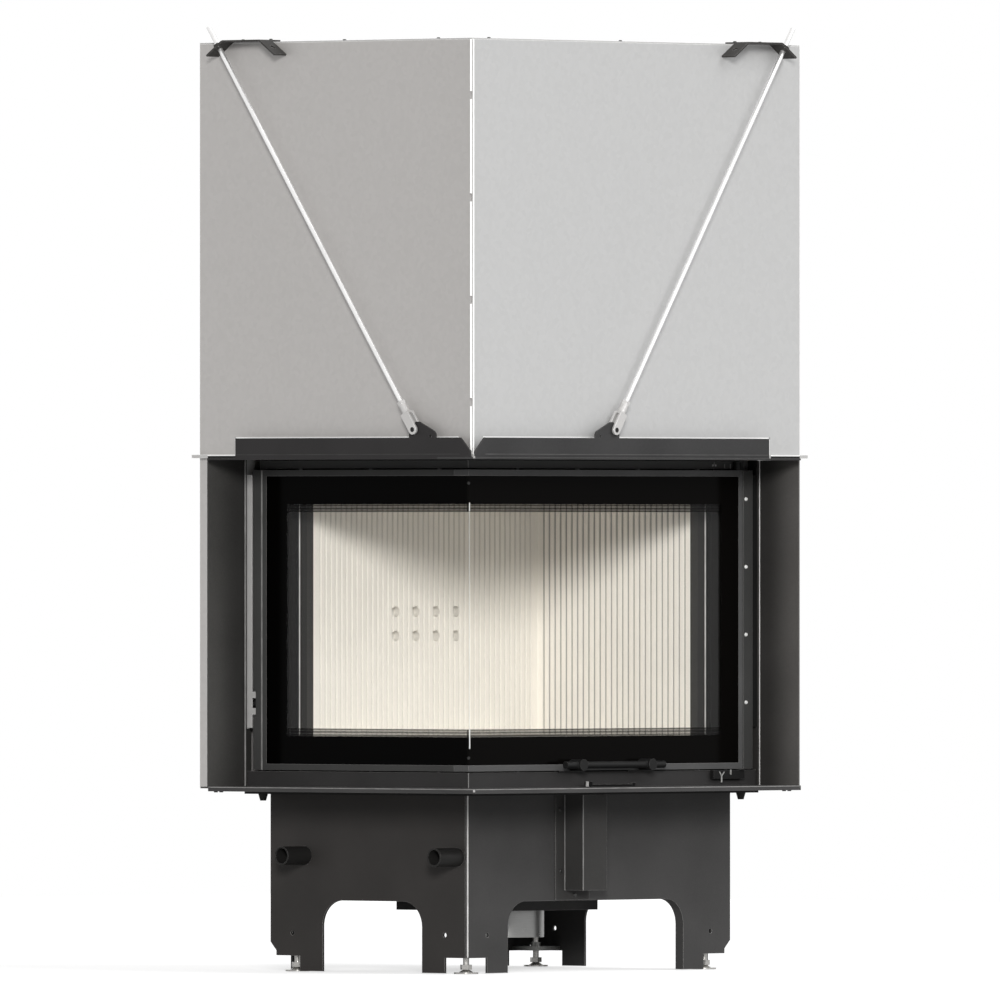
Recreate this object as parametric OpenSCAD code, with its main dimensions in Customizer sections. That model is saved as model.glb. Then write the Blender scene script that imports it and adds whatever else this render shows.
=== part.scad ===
// Corner fireplace insert with a lifting two-sided glass door. A welded steel firebox lined with ribbed
// ceramic stands on a folded steel base with four screw feet. The door rises into a galvanised casing,
// where two cables over pulleys join it to its counterweights. Millimetres, +Z up, origin on the floor
// in the middle of the footprint box. Places are worked out from the casing's front left edge.

/* [Casing] */
// Width of the casing, left to right
casing_w = 800; // [780:5:900]
// Depth of the casing, front to back
casing_d = 602; // [590:1:680]
// Height of the casing's top over the floor
casing_top = 1519; // [1500:1:1600]
// Thickness of the galvanised sheet
galv_t = 2; // [1.5:0.5:2.5]
// How far the casing's foot flange stands out
flange_out = 9.5; // [6:0.5:12]
// Height of the casing's foot flange
flange_t = 5.5; // [4:0.5:8]
// How far the folded seam stands out at the glass corner
seam_out = 8; // [5:0.5:12]
// Gap between the two folds of the seam
seam_gap = 1; // [0.5:0.1:2]
// Height of each locking tab slot in the seam
tab_h = 13; // [8:1:20]
// Distance between tab slots
tab_pitch = 165.6; // [120:0.1:200]
// Number of tab slots
tab_count = 4; // [2:1:4]
// Distance from the casing's top to the first tab slot
tab_drop = 93; // [60:1:120]
// Slack of the flue collar's hole in the casing's top
collar_slack = 1.5; // [1:0.5:4]

/* [Lintel irons and tie rods] */
// Underside of the lintel irons over the floor
lintel_z = 837; // [820:1:860]
// Thickness of the irons
iron_t = 3; // [2:0.5:4]
// Height of the upright leg
iron_h = 35; // [30:1:45]
// Width of the flat leg behind the casing's face
iron_in = 60; // [40:1:70]
// Distance of the tie rods in front of the casing's faces
rod_off = 16; // [14:0.5:20]
// How far the front lip stands out from the upright leg
lip_out = 5; // [3:0.5:8]
// Distance from the upright leg's end to the far end of the casing
iron_back = 95; // [80:1:110]
// Distance from the upright leg's outer face to the start of the other leg
iron_open = 6; // [4:0.5:8]
// Slanted cut where the irons meet
miter_cut = 22; // [12:1:25]
// Length of the ears that hold the rods
ear_l = 58; // [50:1:65]
// Height of the ears
ear_h = 26; // [22:1:30]
// Height of the clevis pin in the ear
pin_h = 13; // [11:0.5:15]
// Distance of the left rod's pin from the casing's corner
pin_y = 110; // [90:1:130]
// Distance of the front rod's pin from the casing's corner
pin_x = 324; // [300:1:340]
// Small hole in each ear
ear_hole_d = 5; // [3:0.5:7]
// Diameter of the tie rods
rod_d = 8.4; // [8:0.1:10]
// Length of rod past its nut
rod_past = 44; // [30:1:60]
// Width and depth of the fork on the rod's end
fork_w = 16; // [14:1:18]
// Slot of the fork
fork_slot = 8; // [6:0.5:10]
// Length of the fork's arms from the pin
fork_arm = 33; // [28:1:40]
// Length of the fork's neck
fork_neck = 16; // [10:1:24]
// Width of the strip that forms the rod brackets
strap_w = 29; // [24:1:30]
// Flat part of the rod brackets
strap_flat = 82; // [70:1:100]
// Slanted leg of the rod brackets
strap_leg = 41; // [34:1:50]
// How far the rod brackets reach onto the casing's top
strap_in = 22; // [20:1:30]
// Thickness of the rod brackets
strap_t = 3; // [2:0.5:4]
// Width and height of the nuts on the tie rods
nut_size = [13, 7];
// Distance from the bracket's outer fold to the casing's far end
strap_back = 77; // [70:1:90]

/* [Sill] */
// Top of the sill over the floor
sill_z = 303; // [295:1:310]
// Height of the sill's folded lips
sill_lip = 7.5; // [6:0.5:9]
// Height of the firebox tray's folded edge
tray_h = 12.5; // [11:0.5:16]
// Steel sheet thickness of the sill, tray and covers
sheet_t = 3; // [2.5:0.5:4]
// Height of the apron under the door
apron_h = 25; // [20:1:26]
// Distance of the apron behind the glass
apron_back = 4; // [3:0.5:5]
// Length of the buffers under the door posts
buffer_h = 11; // [8:1:14]
// Diameter of the buffers at their top
buffer_d = 16; // [12:1:18]

/* [Base] */
// Distance of the base from the casing's front and left faces
base_in = 128; // [120:1:140]
// Distance of the base from the casing's right face
base_right_in = 28; // [20:1:50]
// Distance of the base from the casing's rear face
base_rear_in = 39; // [30:1:60]
// Thickness of the base plates
base_t = 4; // [3:0.5:5]
// Height of the arches
arch_z = 117; // [100:1:140]
// Radius of the arches' upper corners
arch_r = 42; // [30:1:50]
// Distance from a base corner to the leg at the glass corner
leg_near = 49; // [46:1:60]
// Distance from a base corner to the leg at the far corners
leg_far = 66; // [56:1:76]
// Width of each leg
leg_w = 50; // [40:1:60]
// Depth of the fold along the front arch
arch_fold = 17; // [10:1:20]
// Height of the plates' lower edge at the corners
corner_z = 26; // [24:0.5:34]
// Height of the legs over the floor
leg_z = 1; // [0.5:0.5:3]
// Slanted cut at the far corners
far_cut = 14; // [8:1:20]
// Height of the folded strip under the slanted cut
fold_h = 8; // [7:1:14]
// Carrying tube diameter
tube_d = 30.5; // [26:0.5:34]
// Carrying tube wall
tube_t = 2.6; // [2:0.1:4]
// How far the tubes stand out on the left
tube_out = 56; // [40:1:70]
// Height of the tubes
tube_z = 190; // [160:1:220]
// Distance of the front tube from the base's front
tube_front = 22; // [20:1:40]
// Distance of the rear tube from the base's rear
tube_rear = 76; // [60:1:90]

/* [Feet] */
// Distance of a foot from its base corner at the front left
foot_in = 22; // [20:1:26]
// Distance of a foot from its base corner at the far sides
foot_far_in = 40; // [36:1:44]
// Diameter of the foot pads
pad_d = 40; // [34:1:42]
// Thickness of the pads
pad_t = 2.5; // [2:0.5:4]
// Lower diameter of the pads' cone
cone_d = 25; // [20:1:30]
// Height of the pads' cone
cone_h = 4.5; // [3:0.5:6]
// Diameter of the spindles
spindle_d = 10; // [8:1:12]
// Height of the spindle's hexagon
hex_h = 8; // [6:1:10]
// Width of the spindle's hexagon
hex_w = 17; // [15:1:19]
// Top of the spindles over the floor
spindle_top = 60; // [50:1:70]
// Thickness of the corner plates that hold the feet
foot_plate_t = 7; // [5:0.5:8]

/* [Air] */
// Side of the air box
airbox_w = 234; // [200:2:260]
// Centre of the air box, from the casing's left face
airbox_x = 450; // [420:5:480]
// Distance of the air box's centre from the base's rear
airbox_rear = 209; // [208:1:230]
// Underside of the air box
airbox_z = 99; // [90:1:110]
// Outer diameter of the air spigot
spigot_d = 125; // [100:5:125]
// Length of the air spigot
spigot_l = 45; // [40:1:60]
// Centre of the spigot, from the air box's centre
spigot_dx = 12; // [0:1:20]
// Centre of the spigot, towards the front
spigot_dy = 9; // [0:1:20]
// Width of the duct cover
duct_w = 59; // [50:1:70]
// Depth of the duct cover
duct_d = 41; // [36:1:44]
// Left side of the duct cover, from the casing's left face
duct_x = 364; // [340:1:380]
// Lower end of the duct cover
duct_z = 134; // [125:1:150]
// Width of the duct cover's flange
duct_flange = 23; // [14:0.5:24]
// Pivot of the air lever, from the casing's left face
lever_x = 474; // [460:1:490]
// Pivot of the air lever, from the casing's front face
lever_y = 78; // [74:1:80]
// Length of the air lever
lever_l = 106; // [90:1:115]
// Width of the lever's bar
lever_w = 8; // [6:0.5:10]
// Thickness of the lever's bar
lever_t = 4; // [3:0.5:5]
// Diameter of the lever's knob
knob_d = 13; // [10:1:14]
// Height of the lever's knob
knob_h = 9; // [7:0.5:10]
// Diameter of the lever's shaft
shaft_d = 8; // [6:0.5:9]
// Length of the crank under the lever
crank_l = 27; // [26:0.5:28]
// Width of the shutter over the air duct
shutter_w = 20; // [16:1:22]
// Swing of the air lever in degrees
lever_swing = 70; // [50:5:80]

/* [Door] */
// Distance of the glass from the casing's faces
door_in = 88; // [86:0.5:90]
// Distance from the front frame to the casing's right face
door_right_in = 42; // [41:0.5:50]
// Distance from the side frame to the casing's rear face
door_rear_in = 57; // [56:0.5:70]
// Lower edge of the door frame
door_z = 330; // [330:1:336]
// Height of the door frame
door_h = 490.5; // [480:0.5:500]
// Visible width of the frame's rails and stiles
rail_w = 10; // [8:0.5:14]
// Depth of the door frame
frame_d = 32; // [28:1:36]
// Thickness of the glass
glass_t = 4; // [4:0.5:5]
// Width of the lip behind the glass
glass_lip = 12; // [8:1:20]
// Thickness of the rope seal behind the frame
seal_t = 9.6; // [8:0.1:12]
// Height of the beams over and under the door
beam_h = 13; // [10:1:14]
// Width of the door posts
post_w = 12; // [10:1:14]
// Thickness of the sheet in posts and beams
post_depth = 34; // [30:1:36]
// Diameter of the handle's bar
bar_d = 12; // [10:1:14]
// Length of the handle's bar
bar_l = 240; // [200:5:300]
// Distance between the handle's stand-offs
stand_pitch = 168.5; // [140:0.5:200]
// Diameter of the handle's stand-offs
stand_d = 19; // [16:1:22]
// How far the stand-offs stand out from the frame
stand_l = 27; // [24:1:28]
// Diameter of the guide rollers
roller_d = 13; // [12:0.5:14]
// Length of the guide rollers
roller_l = 18; // [14:1:18]
// Length of the block under the front frame's hinge side
hinge_l = 78; // [60:1:90]
// Diameter of the hinge knuckles
knuckle_d = 12; // [10:1:12]
// Height of the carriage's screws over each other
post_screw_pitch = 111.5; // [90:0.5:112]
// Height that the door is lifted
door_travel = 440; // [400:10:440]
// Height of the guide rollers over the floor
roller_z = 439; // [420:1:460]

/* [Counterweights] */
// Width of each counterweight
weight_w = 36; // [30:1:36]
// Length of each counterweight's section along its wall
weight_l = 76; // [50:1:76]
// Height of each counterweight
weight_h = 480; // [400:10:480]
// Distance from the counterweights up to the pulleys' axles with the door shut
weight_drop = 70; // [65:1:100]
// Diameter of the pulleys where the cable runs
pulley_run_d = 56; // [50:1:60]
// Rim of the pulleys outside the cable's run
pulley_rim = 5; // [4:0.5:6]
// Width of the pulleys
pulley_w = 12; // [10:1:14]
// Distance from the pulleys' axles to the casing's top
pulley_drop = 79; // [79:1:90]
// Diameter of the axles
axle_d = 10; // [8:1:12]
// Diameter of the cables
cable_d = 3; // [2:0.5:4]
// Room around a cable in the door's posts and in the counterweights
cable_room = 1; // [0.5:0.25:1.5]

/* [Firebox] */
// Distance from the ceramic back to the casing's rear face
lining_rear_in = 114; // [110:1:130]
// Distance from the ceramic side to the casing's right face
lining_right_in = 102; // [100:1:120]
// Thickness of the ceramic
lining_t = 30; // [25:1:32]
// Pitch of the ceramic's ribs
rib_pitch = 12.5; // [10:0.5:20]
// Width of the grooves between the ribs
groove_w = 5; // [3:0.5:6]
// Depth of the grooves
groove_d = 2.5; // [1.5:0.5:4]
// Top of the ceramic floor
hearth_z = 385; // [375:1:390]
// Thickness of the ceramic floor
hearth_t = 30; // [25:1:32]
// Distance from the firebox face to the ceramic walls' near edges
lining_start = 20.1; // [15:0.1:36]
// Thickness of the firebox walls
wall_t = 4; // [3:0.5:5]
// Height of the baffle over the floor
baffle_z = 850; // [840:5:900]
// Thickness of the baffle
baffle_t = 30; // [20:1:40]
// Gap in front of the baffle
baffle_gap = 70; // [50:5:100]
// Diameter of the air holes in the ceramic back
air_hole_d = 18; // [12:1:22]
// Height of the smoke dome over the walls
dome_h = 240; // [200:10:260]
// Length of the flue collar
collar_l = 126; // [100:1:140]
// Inner diameter of the flue collar
flue_d = 200; // [150:10:200]
// Wall of the flue collar
flue_t = 3; // [2:0.5:4]
// Distance from the collar's rim to the casing's top
flue_drop = 3; // [1:1:10]

/* [Hidden] */
$fn = 48;

// Overrun of cuts, running gaps and small seats
cut = 1;
gap = 0.3;
run_gap = 0.2;

// The footprint box, from the rod brackets to the casing's foot flange
front_most = rod_off + strap_w / 2;
mid_x = (casing_w + flange_out - front_most) / 2;
mid_y = (casing_d + flange_out - front_most) / 2;
module place() translate([-mid_x, -mid_y, 0]) children();
module block(x, y, z)
    translate([x[0], y[0], z[0]]) cube([x[1] - x[0], y[1] - y[0], z[1] - z[0]]);
// A rod along one axis between two places on it
module rod_x(x, y, z, d) translate([x[0], y, z]) rotate([0, 90, 0]) cylinder(d = d, h = x[1] - x[0]);
module rod_y(x, y, z, d) translate([x, y[1], z]) rotate([90, 0, 0]) cylinder(d = d, h = y[1] - y[0]);
module rod_z(x, y, z, d) translate([x, y, z[0]]) cylinder(d = d, h = z[1] - z[0]);
// Swaps X and Y, so a shape drawn for the front side serves the left side
module left_side() multmatrix([[0, 1, 0, 0], [1, 0, 0, 0], [0, 0, 1, 0], [0, 0, 0, 1]]) children();

// Levels
casing_z = lintel_z + iron_t + flange_t;
sill_under = sill_z - sill_lip;
tray_z = sill_z - tray_h;
door_top = door_z + door_h;
beam_gap = 2.5;
low_gap = 5;
beam_top = door_top + beam_gap + beam_h;
beam_low = door_z - low_gap - beam_h;
pulley_z = casing_top - pulley_drop;
weight_top = pulley_z - weight_drop;
wall_top = casing_top - flue_drop - collar_l - dome_h;
rail_over = 26;
rail_top = pulley_z + rail_over;

// Planes behind the casing's right and rear faces
right_in = casing_w - sheet_t;
rear_wing = 18;
rear_in = casing_d - rear_wing;
frame_right = casing_w - door_right_in;
frame_rear = casing_d - door_rear_in;
frame_back = door_in + frame_d;
seal_back = frame_back + seal_t;
fire_face = seal_back + gap;
post_gap = 2;
post_back = door_in + post_depth + post_gap * 2;
lining_x_start = fire_face + lining_start;
lining_y_start = lining_x_start;
lining_x = casing_w - lining_right_in;
lining_y = casing_d - lining_rear_in;
wall_x = lining_x + lining_t;
wall_y = lining_y + lining_t;
base_x = casing_w - base_right_in;
base_y = casing_d - base_rear_in;
airbox_y = base_y - airbox_rear;

base_hole_z = 63;
base_hole_d = 8;
// Slanted cut at the lower corner of a base plate, drawn at its far end
module corner_slant(len) polygon([[len + cut, corner_z - cut], [len - far_cut, corner_z - cut],
    [len - far_cut, corner_z + fold_h], [len, corner_z + fold_h + far_cut],
    [len + cut, corner_z + fold_h + far_cut]]);
// Base plate drawn flat: u runs from the near corner to the far one, v is height
module base_outline(len) {
    leg0 = leg_near;
    leg1 = len - leg_far;
    difference() {
        square([len, tray_z + tray_h - sheet_t]);
        translate([-cut, -cut]) square([leg0 + cut, corner_z + cut]);
        translate([leg1, -cut]) square([leg_far + cut, corner_z + cut]);
        translate([-cut, -cut]) square([len + 2 * cut, leg_z + cut]);
        corner_slant(len);
        translate([leg0 + leg_w, -cut]) arch_shape(leg1 - leg_w - leg0 - leg_w, arch_z + cut, arch_r);
        for (u = [leg_near, len - leg_near]) translate([u, base_hole_z]) circle(d = base_hole_d);
    }
}
module arch_shape(w, h, r) {
    square([w, h - r]);
    translate([r, 0]) square([w - 2 * r, h]);
    for (u = [r, w - r]) translate([u, h - r]) circle(r = r);
}
// The fold along an arch: a thin strip that follows it
module arch_strip(len) {
    u0 = leg_near + leg_w - sheet_t;
    w = len - leg_far - leg_w + sheet_t - u0;
    difference() {
        translate([u0, leg_z]) arch_shape(w, arch_z + sheet_t - leg_z, arch_r + sheet_t);
        translate([u0 + sheet_t, 0]) arch_shape(w - 2 * sheet_t, arch_z, arch_r);
    }
}
// Stands a flat drawing up along X, its face at y, its thickness towards +Y
module stand_x(y, t) translate([0, y + t, 0]) rotate([90, 0, 0]) linear_extrude(t) children();

base_len_x = base_x - base_in;
base_len_y = base_y - base_in;
duct_right = duct_x + duct_w;
duct_front = base_in - duct_d;
duct_hole = 6;
duct_t = 2;
flange_z = arch_z + cut;
module base_front() place() color("#444444") difference() {
    union() {
        translate([base_in, 0, 0]) stand_x(base_in, base_t) base_outline(base_len_x);
        translate([base_in, 0, 0]) stand_x(base_in, arch_fold) arch_strip(base_len_x);
    }
    block([duct_x + duct_hole, duct_right - duct_hole], [base_in - cut, base_in + base_t + cut],
        [duct_z + duct_hole, tray_z - duct_hole]);
    at_duct_screws() screw_hole();
}
module base_left() place() color("#353331") left_side() difference() {
    translate([base_in, 0, 0]) stand_x(base_in, base_t) base_outline(base_len_y);
    translate([base_in - cut, base_in - cut, 0]) cube([base_t + cut, leg_near, casing_top]);
    for (y = [base_in + tube_front, base_y - tube_rear])
        rod_y(y, [base_in - cut, base_in + base_t + cut], tube_z, tube_d + run_gap);
}
// A base plate with the slanted cut at both ends
module far_outline(len) difference() {
    base_outline(len);
    translate([len, 0]) mirror([1, 0]) corner_slant(len);
}
module base_back() place() color("#302f2e") difference() {
    union() {
        translate([base_in, 0, 0]) stand_x(base_y - base_t, base_t) far_outline(base_len_x);
        left_side() translate([base_in, 0, 0]) stand_x(base_x - base_t, base_t) far_outline(base_len_y);
    }
    block([base_in - cut, base_in + base_t], [base_in, base_y + cut], [0, casing_top]);
    block([base_x - leg_near, base_x + cut], [base_in - cut, base_in + base_t], [0, casing_top]);
    for (y = [base_in + tube_front, base_y - tube_rear])
        rod_x([base_x - base_t - cut, base_x + cut], y, tube_z, tube_d + run_gap);
}

// Folded sheet box over the air duct, with its screwed flange
riser_in = 5;
module duct_cover() place() color("#3c3c3c") difference() {
    union() {
        block([duct_x, duct_right], [duct_front, base_in], [duct_z, tray_z - gap]);
        block([duct_x, duct_right], [door_in + riser_in, base_in], [duct_z, sill_under - gap]);
        block([duct_x - duct_flange, duct_right], [base_in - duct_t, base_in], [flange_z, tray_z - gap]);
    }
    block([duct_x + duct_t, duct_right - duct_t], [duct_front + duct_t, base_in + cut],
        [duct_z + duct_t, tray_z - duct_t]);
    block([duct_x + duct_t, duct_right - duct_t], [door_in + riser_in + duct_t, base_in + cut],
        [duct_z + duct_t, sill_z]);
    at_duct_screws() screw_hole();
}

// Screws: pan heads with short shanks, all alike, and the holes that they sit in
head_d = 6.5;
head_top_share = 0.7;
head_h = 2;
shank_d = 3.6;
shank_l = 4;
module screw() {
    cylinder(d1 = head_d, d2 = head_d * head_top_share, h = head_h);
    translate([0, 0, -shank_l]) cylinder(d = shank_d, h = shank_l);
}
module screw_hole() translate([0, 0, -shank_l]) cylinder(d = shank_d, h = shank_l + head_h);
duct_screw_z = [165, 266];
low_screw_share = 0.4;
casing_screw_x = [51, 370];
casing_screw_y = [83, 290];
screw_edge = 10;
module at_duct_screws() {
    for (z = duct_screw_z)
        translate([duct_x - duct_flange / 2, base_in - duct_t, z]) rotate([90, 0, 0]) children();
    translate([duct_x + duct_w * low_screw_share, base_in - duct_t, (duct_z + flange_z) / 2])
        rotate([90, 0, 0]) children();
}
module at_top_screws() {
    for (x = casing_screw_x) translate([x, screw_edge, casing_top]) children();
    for (y = casing_screw_y) translate([screw_edge, y, casing_top]) children();
}
// The two screws of a rod bracket, drawn for the front
module at_strap_screws(mid) for (side = [-1, 1])
    translate([mid + side * (strap_flat / 2 - screw_edge), screw_edge, casing_top + strap_t]) children();
module at_bracket_screws() {
    at_strap_screws(strap_x) children();
    left_side() at_strap_screws(strap_y) children();
}
module cover_screws() place() color("#8d8b88") {
    at_duct_screws() screw();
    at_top_screws() screw();
    at_bracket_screws() screw();
}

tube_past = 5;
module carrying_tubes() place() color("#2f2e2d")
    for (y = [base_in + tube_front, base_y - tube_rear]) difference() {
        rod_x([base_in - tube_out, base_x + tube_past], y, tube_z, tube_d);
        rod_x([base_in - tube_out - cut, base_x + tube_past + cut], y, tube_z, tube_d - 2 * tube_t);
    }

// Corner plates with a threaded boss for each foot
foot_plate_up = 0.5;
boss_h = 14;
foot_x = [base_in + foot_in, base_x - foot_far_in];
foot_y = [base_in + foot_in, base_y - foot_far_in];
plate_in = foot_in * 2;
plate_far = foot_in + foot_far_in;
plate_z = corner_z + foot_plate_up;
module foot_plates() place() color("#a9a8a5") for (i = [0, 1], j = [0, 1]) {
    x0 = i == 0 ? base_in + base_t : base_x - plate_far;
    x1 = i == 0 ? base_in + plate_in : base_x - (j == 0 ? far_cut : base_t);
    y0 = j == 0 ? base_in + base_t : base_y - plate_far;
    y1 = j == 0 ? base_in + plate_in : base_y - (i == 0 ? far_cut : base_t);
    difference() {
        union() {
            block([x0, x1], [y0, y1], [plate_z, plate_z + foot_plate_t]);
            rod_z(foot_x[i], foot_y[j], [plate_z, plate_z + boss_h], hex_w);
        }
        rod_z(foot_x[i], foot_y[j], [plate_z - cut, plate_z + boss_h + cut], spindle_d + run_gap);
    }
}
// Screw foot: pad, cone, hexagon and spindle turned from one piece
module screw_foot(i, j) place() color("#b7b5b0") translate([foot_x[i], foot_y[j], 0]) {
    cylinder(d = pad_d, h = pad_t);
    translate([0, 0, pad_t]) cylinder(d1 = cone_d, d2 = spindle_d, h = cone_h);
    translate([0, 0, pad_t + cone_h]) cylinder(d = hex_w / cos(30), h = hex_h, $fn = 6);
    cylinder(d = spindle_d, h = spindle_top);
}
module foot_front_left() screw_foot(0, 0);
module foot_front_right() screw_foot(1, 0);
module foot_rear_left() screw_foot(0, 1);
module foot_rear_right() screw_foot(1, 1);

// Air box under the tray and its spigot
spigot_t = 1.5;
module air_box() place() color("#33312f") difference() {
    r = airbox_w / 2;
    block([airbox_x - r, airbox_x + r], [airbox_y - r, airbox_y + r], [airbox_z, sill_z - sheet_t]);
    block([airbox_x - r + sheet_t, airbox_x + r - sheet_t], [airbox_y - r + sheet_t, airbox_y + r - sheet_t],
        [airbox_z + sheet_t, sill_z]);
    rod_z(airbox_x + spigot_dx, airbox_y - spigot_dy, [airbox_z - cut, airbox_z + sheet_t + cut],
        spigot_d - 2 * spigot_t);
}
module air_spigot() place() color("#a5a4a2")
    translate([airbox_x + spigot_dx, airbox_y - spigot_dy, airbox_z - spigot_l]) difference() {
        cylinder(d = spigot_d, h = spigot_l);
        translate([0, 0, -cut]) cylinder(d = spigot_d - 2 * spigot_t, h = spigot_l + 2 * cut);
    }

// Air lever on the sill: bar, knob, shaft, and under the sill the crank with its pin
lever_hub_d = 11;
crank_w = 9;
crank_t = 1.8;
crank_pin = 4;
crank_angle = lever_swing / 2;
lever_seat = 0.3;
crank_z = sill_z - sheet_t - lever_seat - crank_t;
shutter_t = 1.6;
shutter_z = sill_under + lever_seat / 3;
shutter_back_share = 0.65;
shutter_y = [lever_y + crank_l - shutter_w * shutter_back_share,
    lever_y + crank_l + shutter_w * (1 - shutter_back_share)];
pin_slack = 0.9;
module air_lever() place() color("#2b2a29") translate([lever_x, lever_y, 0]) {
    bar_z = sill_z + lever_seat;
    translate([-lever_l, -lever_w / 2, bar_z]) cube([lever_l, lever_w, lever_t]);
    translate([0, 0, bar_z]) cylinder(d = lever_hub_d, h = lever_t + head_h);
    translate([-lever_l, 0, bar_z]) cylinder(d = knob_d, h = knob_h);
    translate([0, 0, crank_z]) cylinder(d = shaft_d, h = bar_z - crank_z + lever_t);
    rotate(-crank_angle) {
        translate([-crank_w / 2, 0, crank_z]) cube([crank_w, crank_l, crank_t]);
        translate([0, crank_l, crank_z]) cylinder(d = crank_w, h = crank_t);
        translate([0, crank_l, shutter_z]) cylinder(d = crank_pin, h = crank_z - shutter_z);
    }
}
// Flat shutter over the duct, driven by the crank's pin in a cross slot
module air_shutter() place() color("#77756f") difference() {
    pin_x0 = lever_x + crank_l * sin(crank_angle);
    block([duct_x, pin_x0 + crank_w + pin_slack], shutter_y, [shutter_z, shutter_z + shutter_t]);
    block([pin_x0 - crank_pin / 2 - pin_slack, pin_x0 + crank_pin / 2 + pin_slack],
        [lever_y + crank_l * cos(crank_angle) - crank_pin / 2 - pin_slack,
        lever_y + crank_l + crank_pin / 2 + pin_slack], [sill_under - cut, sill_z]);
}

// Outline that the sill and the lintel irons share, drawn inwards by one distance: front edge, slanted
// cuts at both far ends, left edge; inner is how deep the two arms are
iron_face = rod_off + iron_t / 2;
lip_front = iron_face + lip_out;
module ledge_front(inset, inner) polygon([[inset - iron_face, inset - lip_front],
    [casing_w - lip_front - inset * bevel_share, inset - lip_front],
    [casing_w - inset, inset * bevel_share], [casing_w - inset, inner], [inset - iron_face, inner]]);
module ledge_left(inset, inner) polygon([[inset - iron_face, 0], [inner, 0], [inner, rear_in - inset],
    [inset * bevel_share, rear_in - inset], [inset - iron_face, rear_in - iron_face - inset * bevel_share]]);
bevel_share = tan(22.5);

// L-shaped sill with folded lips along its outer edges, and four stud ends under it
sill_arm = door_in - gap;
stud_d = 6.5;
stud_l = 6.5;
stud_pitch = 13;
stud_in = 12;
module sill_studs() {
    for (u = [stud_in, stud_in + stud_pitch])
        rod_z(casing_w - u, stud_in, [sill_z - sheet_t - stud_l, sill_z - sheet_t], stud_d);
    for (u = [stud_in / 2, stud_in / 2 + stud_pitch])
        rod_z(u, rear_in - stud_in, [sill_z - sheet_t - stud_l, sill_z - sheet_t], stud_d);
}
module sill_plate() place() color("#4b4a49") {
    difference() {
        translate([0, 0, sill_under]) linear_extrude(sill_lip) {
            ledge_front(0, sill_arm);
            ledge_left(0, sill_arm);
        }
        translate([0, 0, sill_under - cut]) linear_extrude(sill_lip - sheet_t + cut) {
            ledge_front(sheet_t, sill_arm + cut);
            ledge_left(sheet_t, sill_arm + cut);
        }
        rod_z(lever_x, lever_y, [sill_under, sill_z + cut], shaft_d + run_gap);
    }
    sill_studs();
}

// Apron: the upright strip under the door
apron_in = door_in + apron_back;
module apron() place() color("#363432") difference() {
    block([apron_in, right_in - rail_lip], [apron_in, rear_in - rail_lip], [sill_z, sill_z + apron_h]);
    block([apron_in + sheet_t, right_in], [apron_in + sheet_t, rear_in],
        [sill_z - cut, sill_z + apron_h + cut]);
}

// Cheeks of the recess in front of the door
cheek_in = 104;
wing_t = 2;
wing_lip = [4, 5];
module wing_right() place() color("#343232") {
    block([right_in, casing_w], [0, cheek_in], [sill_z, lintel_z]);
    block([right_in - wing_lip[0], right_in], [door_in - wing_t, door_in], [sill_z, lintel_z]);
}
module wing_left() place() color("#343232") {
    block([door_in - wing_t, door_in], [rear_in - wing_lip[1], rear_in], [sill_z, lintel_z]);
    block([0, cheek_in], [rear_in, rear_in + wing_t], [sill_z - sheet_t, lintel_z + iron_t]);
    block([0, cheek_in], [rear_in + wing_t, casing_d - galv_t], [sill_z - sheet_t, sill_z]);
}

// Galvanised cover round the right and rear sides of the firebox, with its folded left edge
module lower_cover() place() color("#b4b1ad") {
    z = [sill_z - sheet_t, lintel_z + iron_t];
    block([right_in, right_in + galv_t], [cheek_in, casing_d], z);
    block([0, right_in], [casing_d - galv_t, casing_d], z);
    block([0, galv_t], [rear_in + wing_t, casing_d - galv_t], [sill_z, z[1]]);
    block([cheek_in + gap, right_in], [rear_in, casing_d - galv_t], [z[0], z[0] + galv_t]);
}

// Guide rails: a channel for the roller, and a plate with the pulley's axle at the top
rail_lip = 2;
rail_back = 2.5;
rail_y = [door_in + rail_back, door_in + rail_back + roller_d + rail_lip * 3];
roller_y = (rail_y[0] + rail_y[1]) / 2;
rail_depth = 14;
plate_t = 6;
plate_h = 35;
hook_reach = 10.5;
hook_h = 10;
hook_gap = 17;
rail_drop = 40;
rail_short = 8;
rail_low = roller_z - rail_drop;
rail_high = door_top - rail_short;
boss_share = 1.6;
pulley_c = post_back - rail_lip * 2 - cable_d + pulley_run_d / 2;
cable_off = pulley_run_d / 2;
cable_y = pulley_c - cable_off;
cable_way = cable_d + 2 * cable_room;
// Drawn for the right side; wall is the plane that carries the rail, post the plane of the post
module guide_rail(wall, post) {
    web = [wall - rail_lip, wall];
    block(web, rail_y, [rail_low - rail_lip, rail_top]);
    block([wall - rail_depth, wall], [rail_y[0], rail_y[0] + rail_lip], [rail_low, rail_high]);
    block([wall - rail_depth, wall], [rail_y[1] - rail_lip, rail_y[1]], [rail_low, rail_high]);
    for (z = [roller_z - hook_gap / 2 - hook_h, roller_z + hook_gap / 2])
        block([wall - rail_depth - hook_reach, wall - rail_depth], [rail_y[0], rail_y[0] + rail_lip],
            [z, z + hook_h]);
    block([wall - rail_lip - plate_t, wall - rail_lip], [rail_y[0], pulley_c + plate_h],
        [pulley_z - plate_h, rail_top]);
    rod_x([post - pulley_w / 2 - plate_t, wall - rail_lip - plate_t], pulley_c, pulley_z, axle_d);
    rod_x([post - pulley_w / 2 - plate_t, post - pulley_w / 2 - gap], pulley_c, pulley_z, axle_d * boss_share);
    rod_x([post + pulley_w / 2 + gap, wall - rail_lip - plate_t], pulley_c, pulley_z, axle_d * boss_share);
}
post_x = [frame_right + post_gap, frame_right + post_gap + post_w];
post_y = [frame_rear + post_gap, frame_rear + post_gap + post_w];
post_mid_x = (post_x[0] + post_x[1]) / 2;
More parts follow.
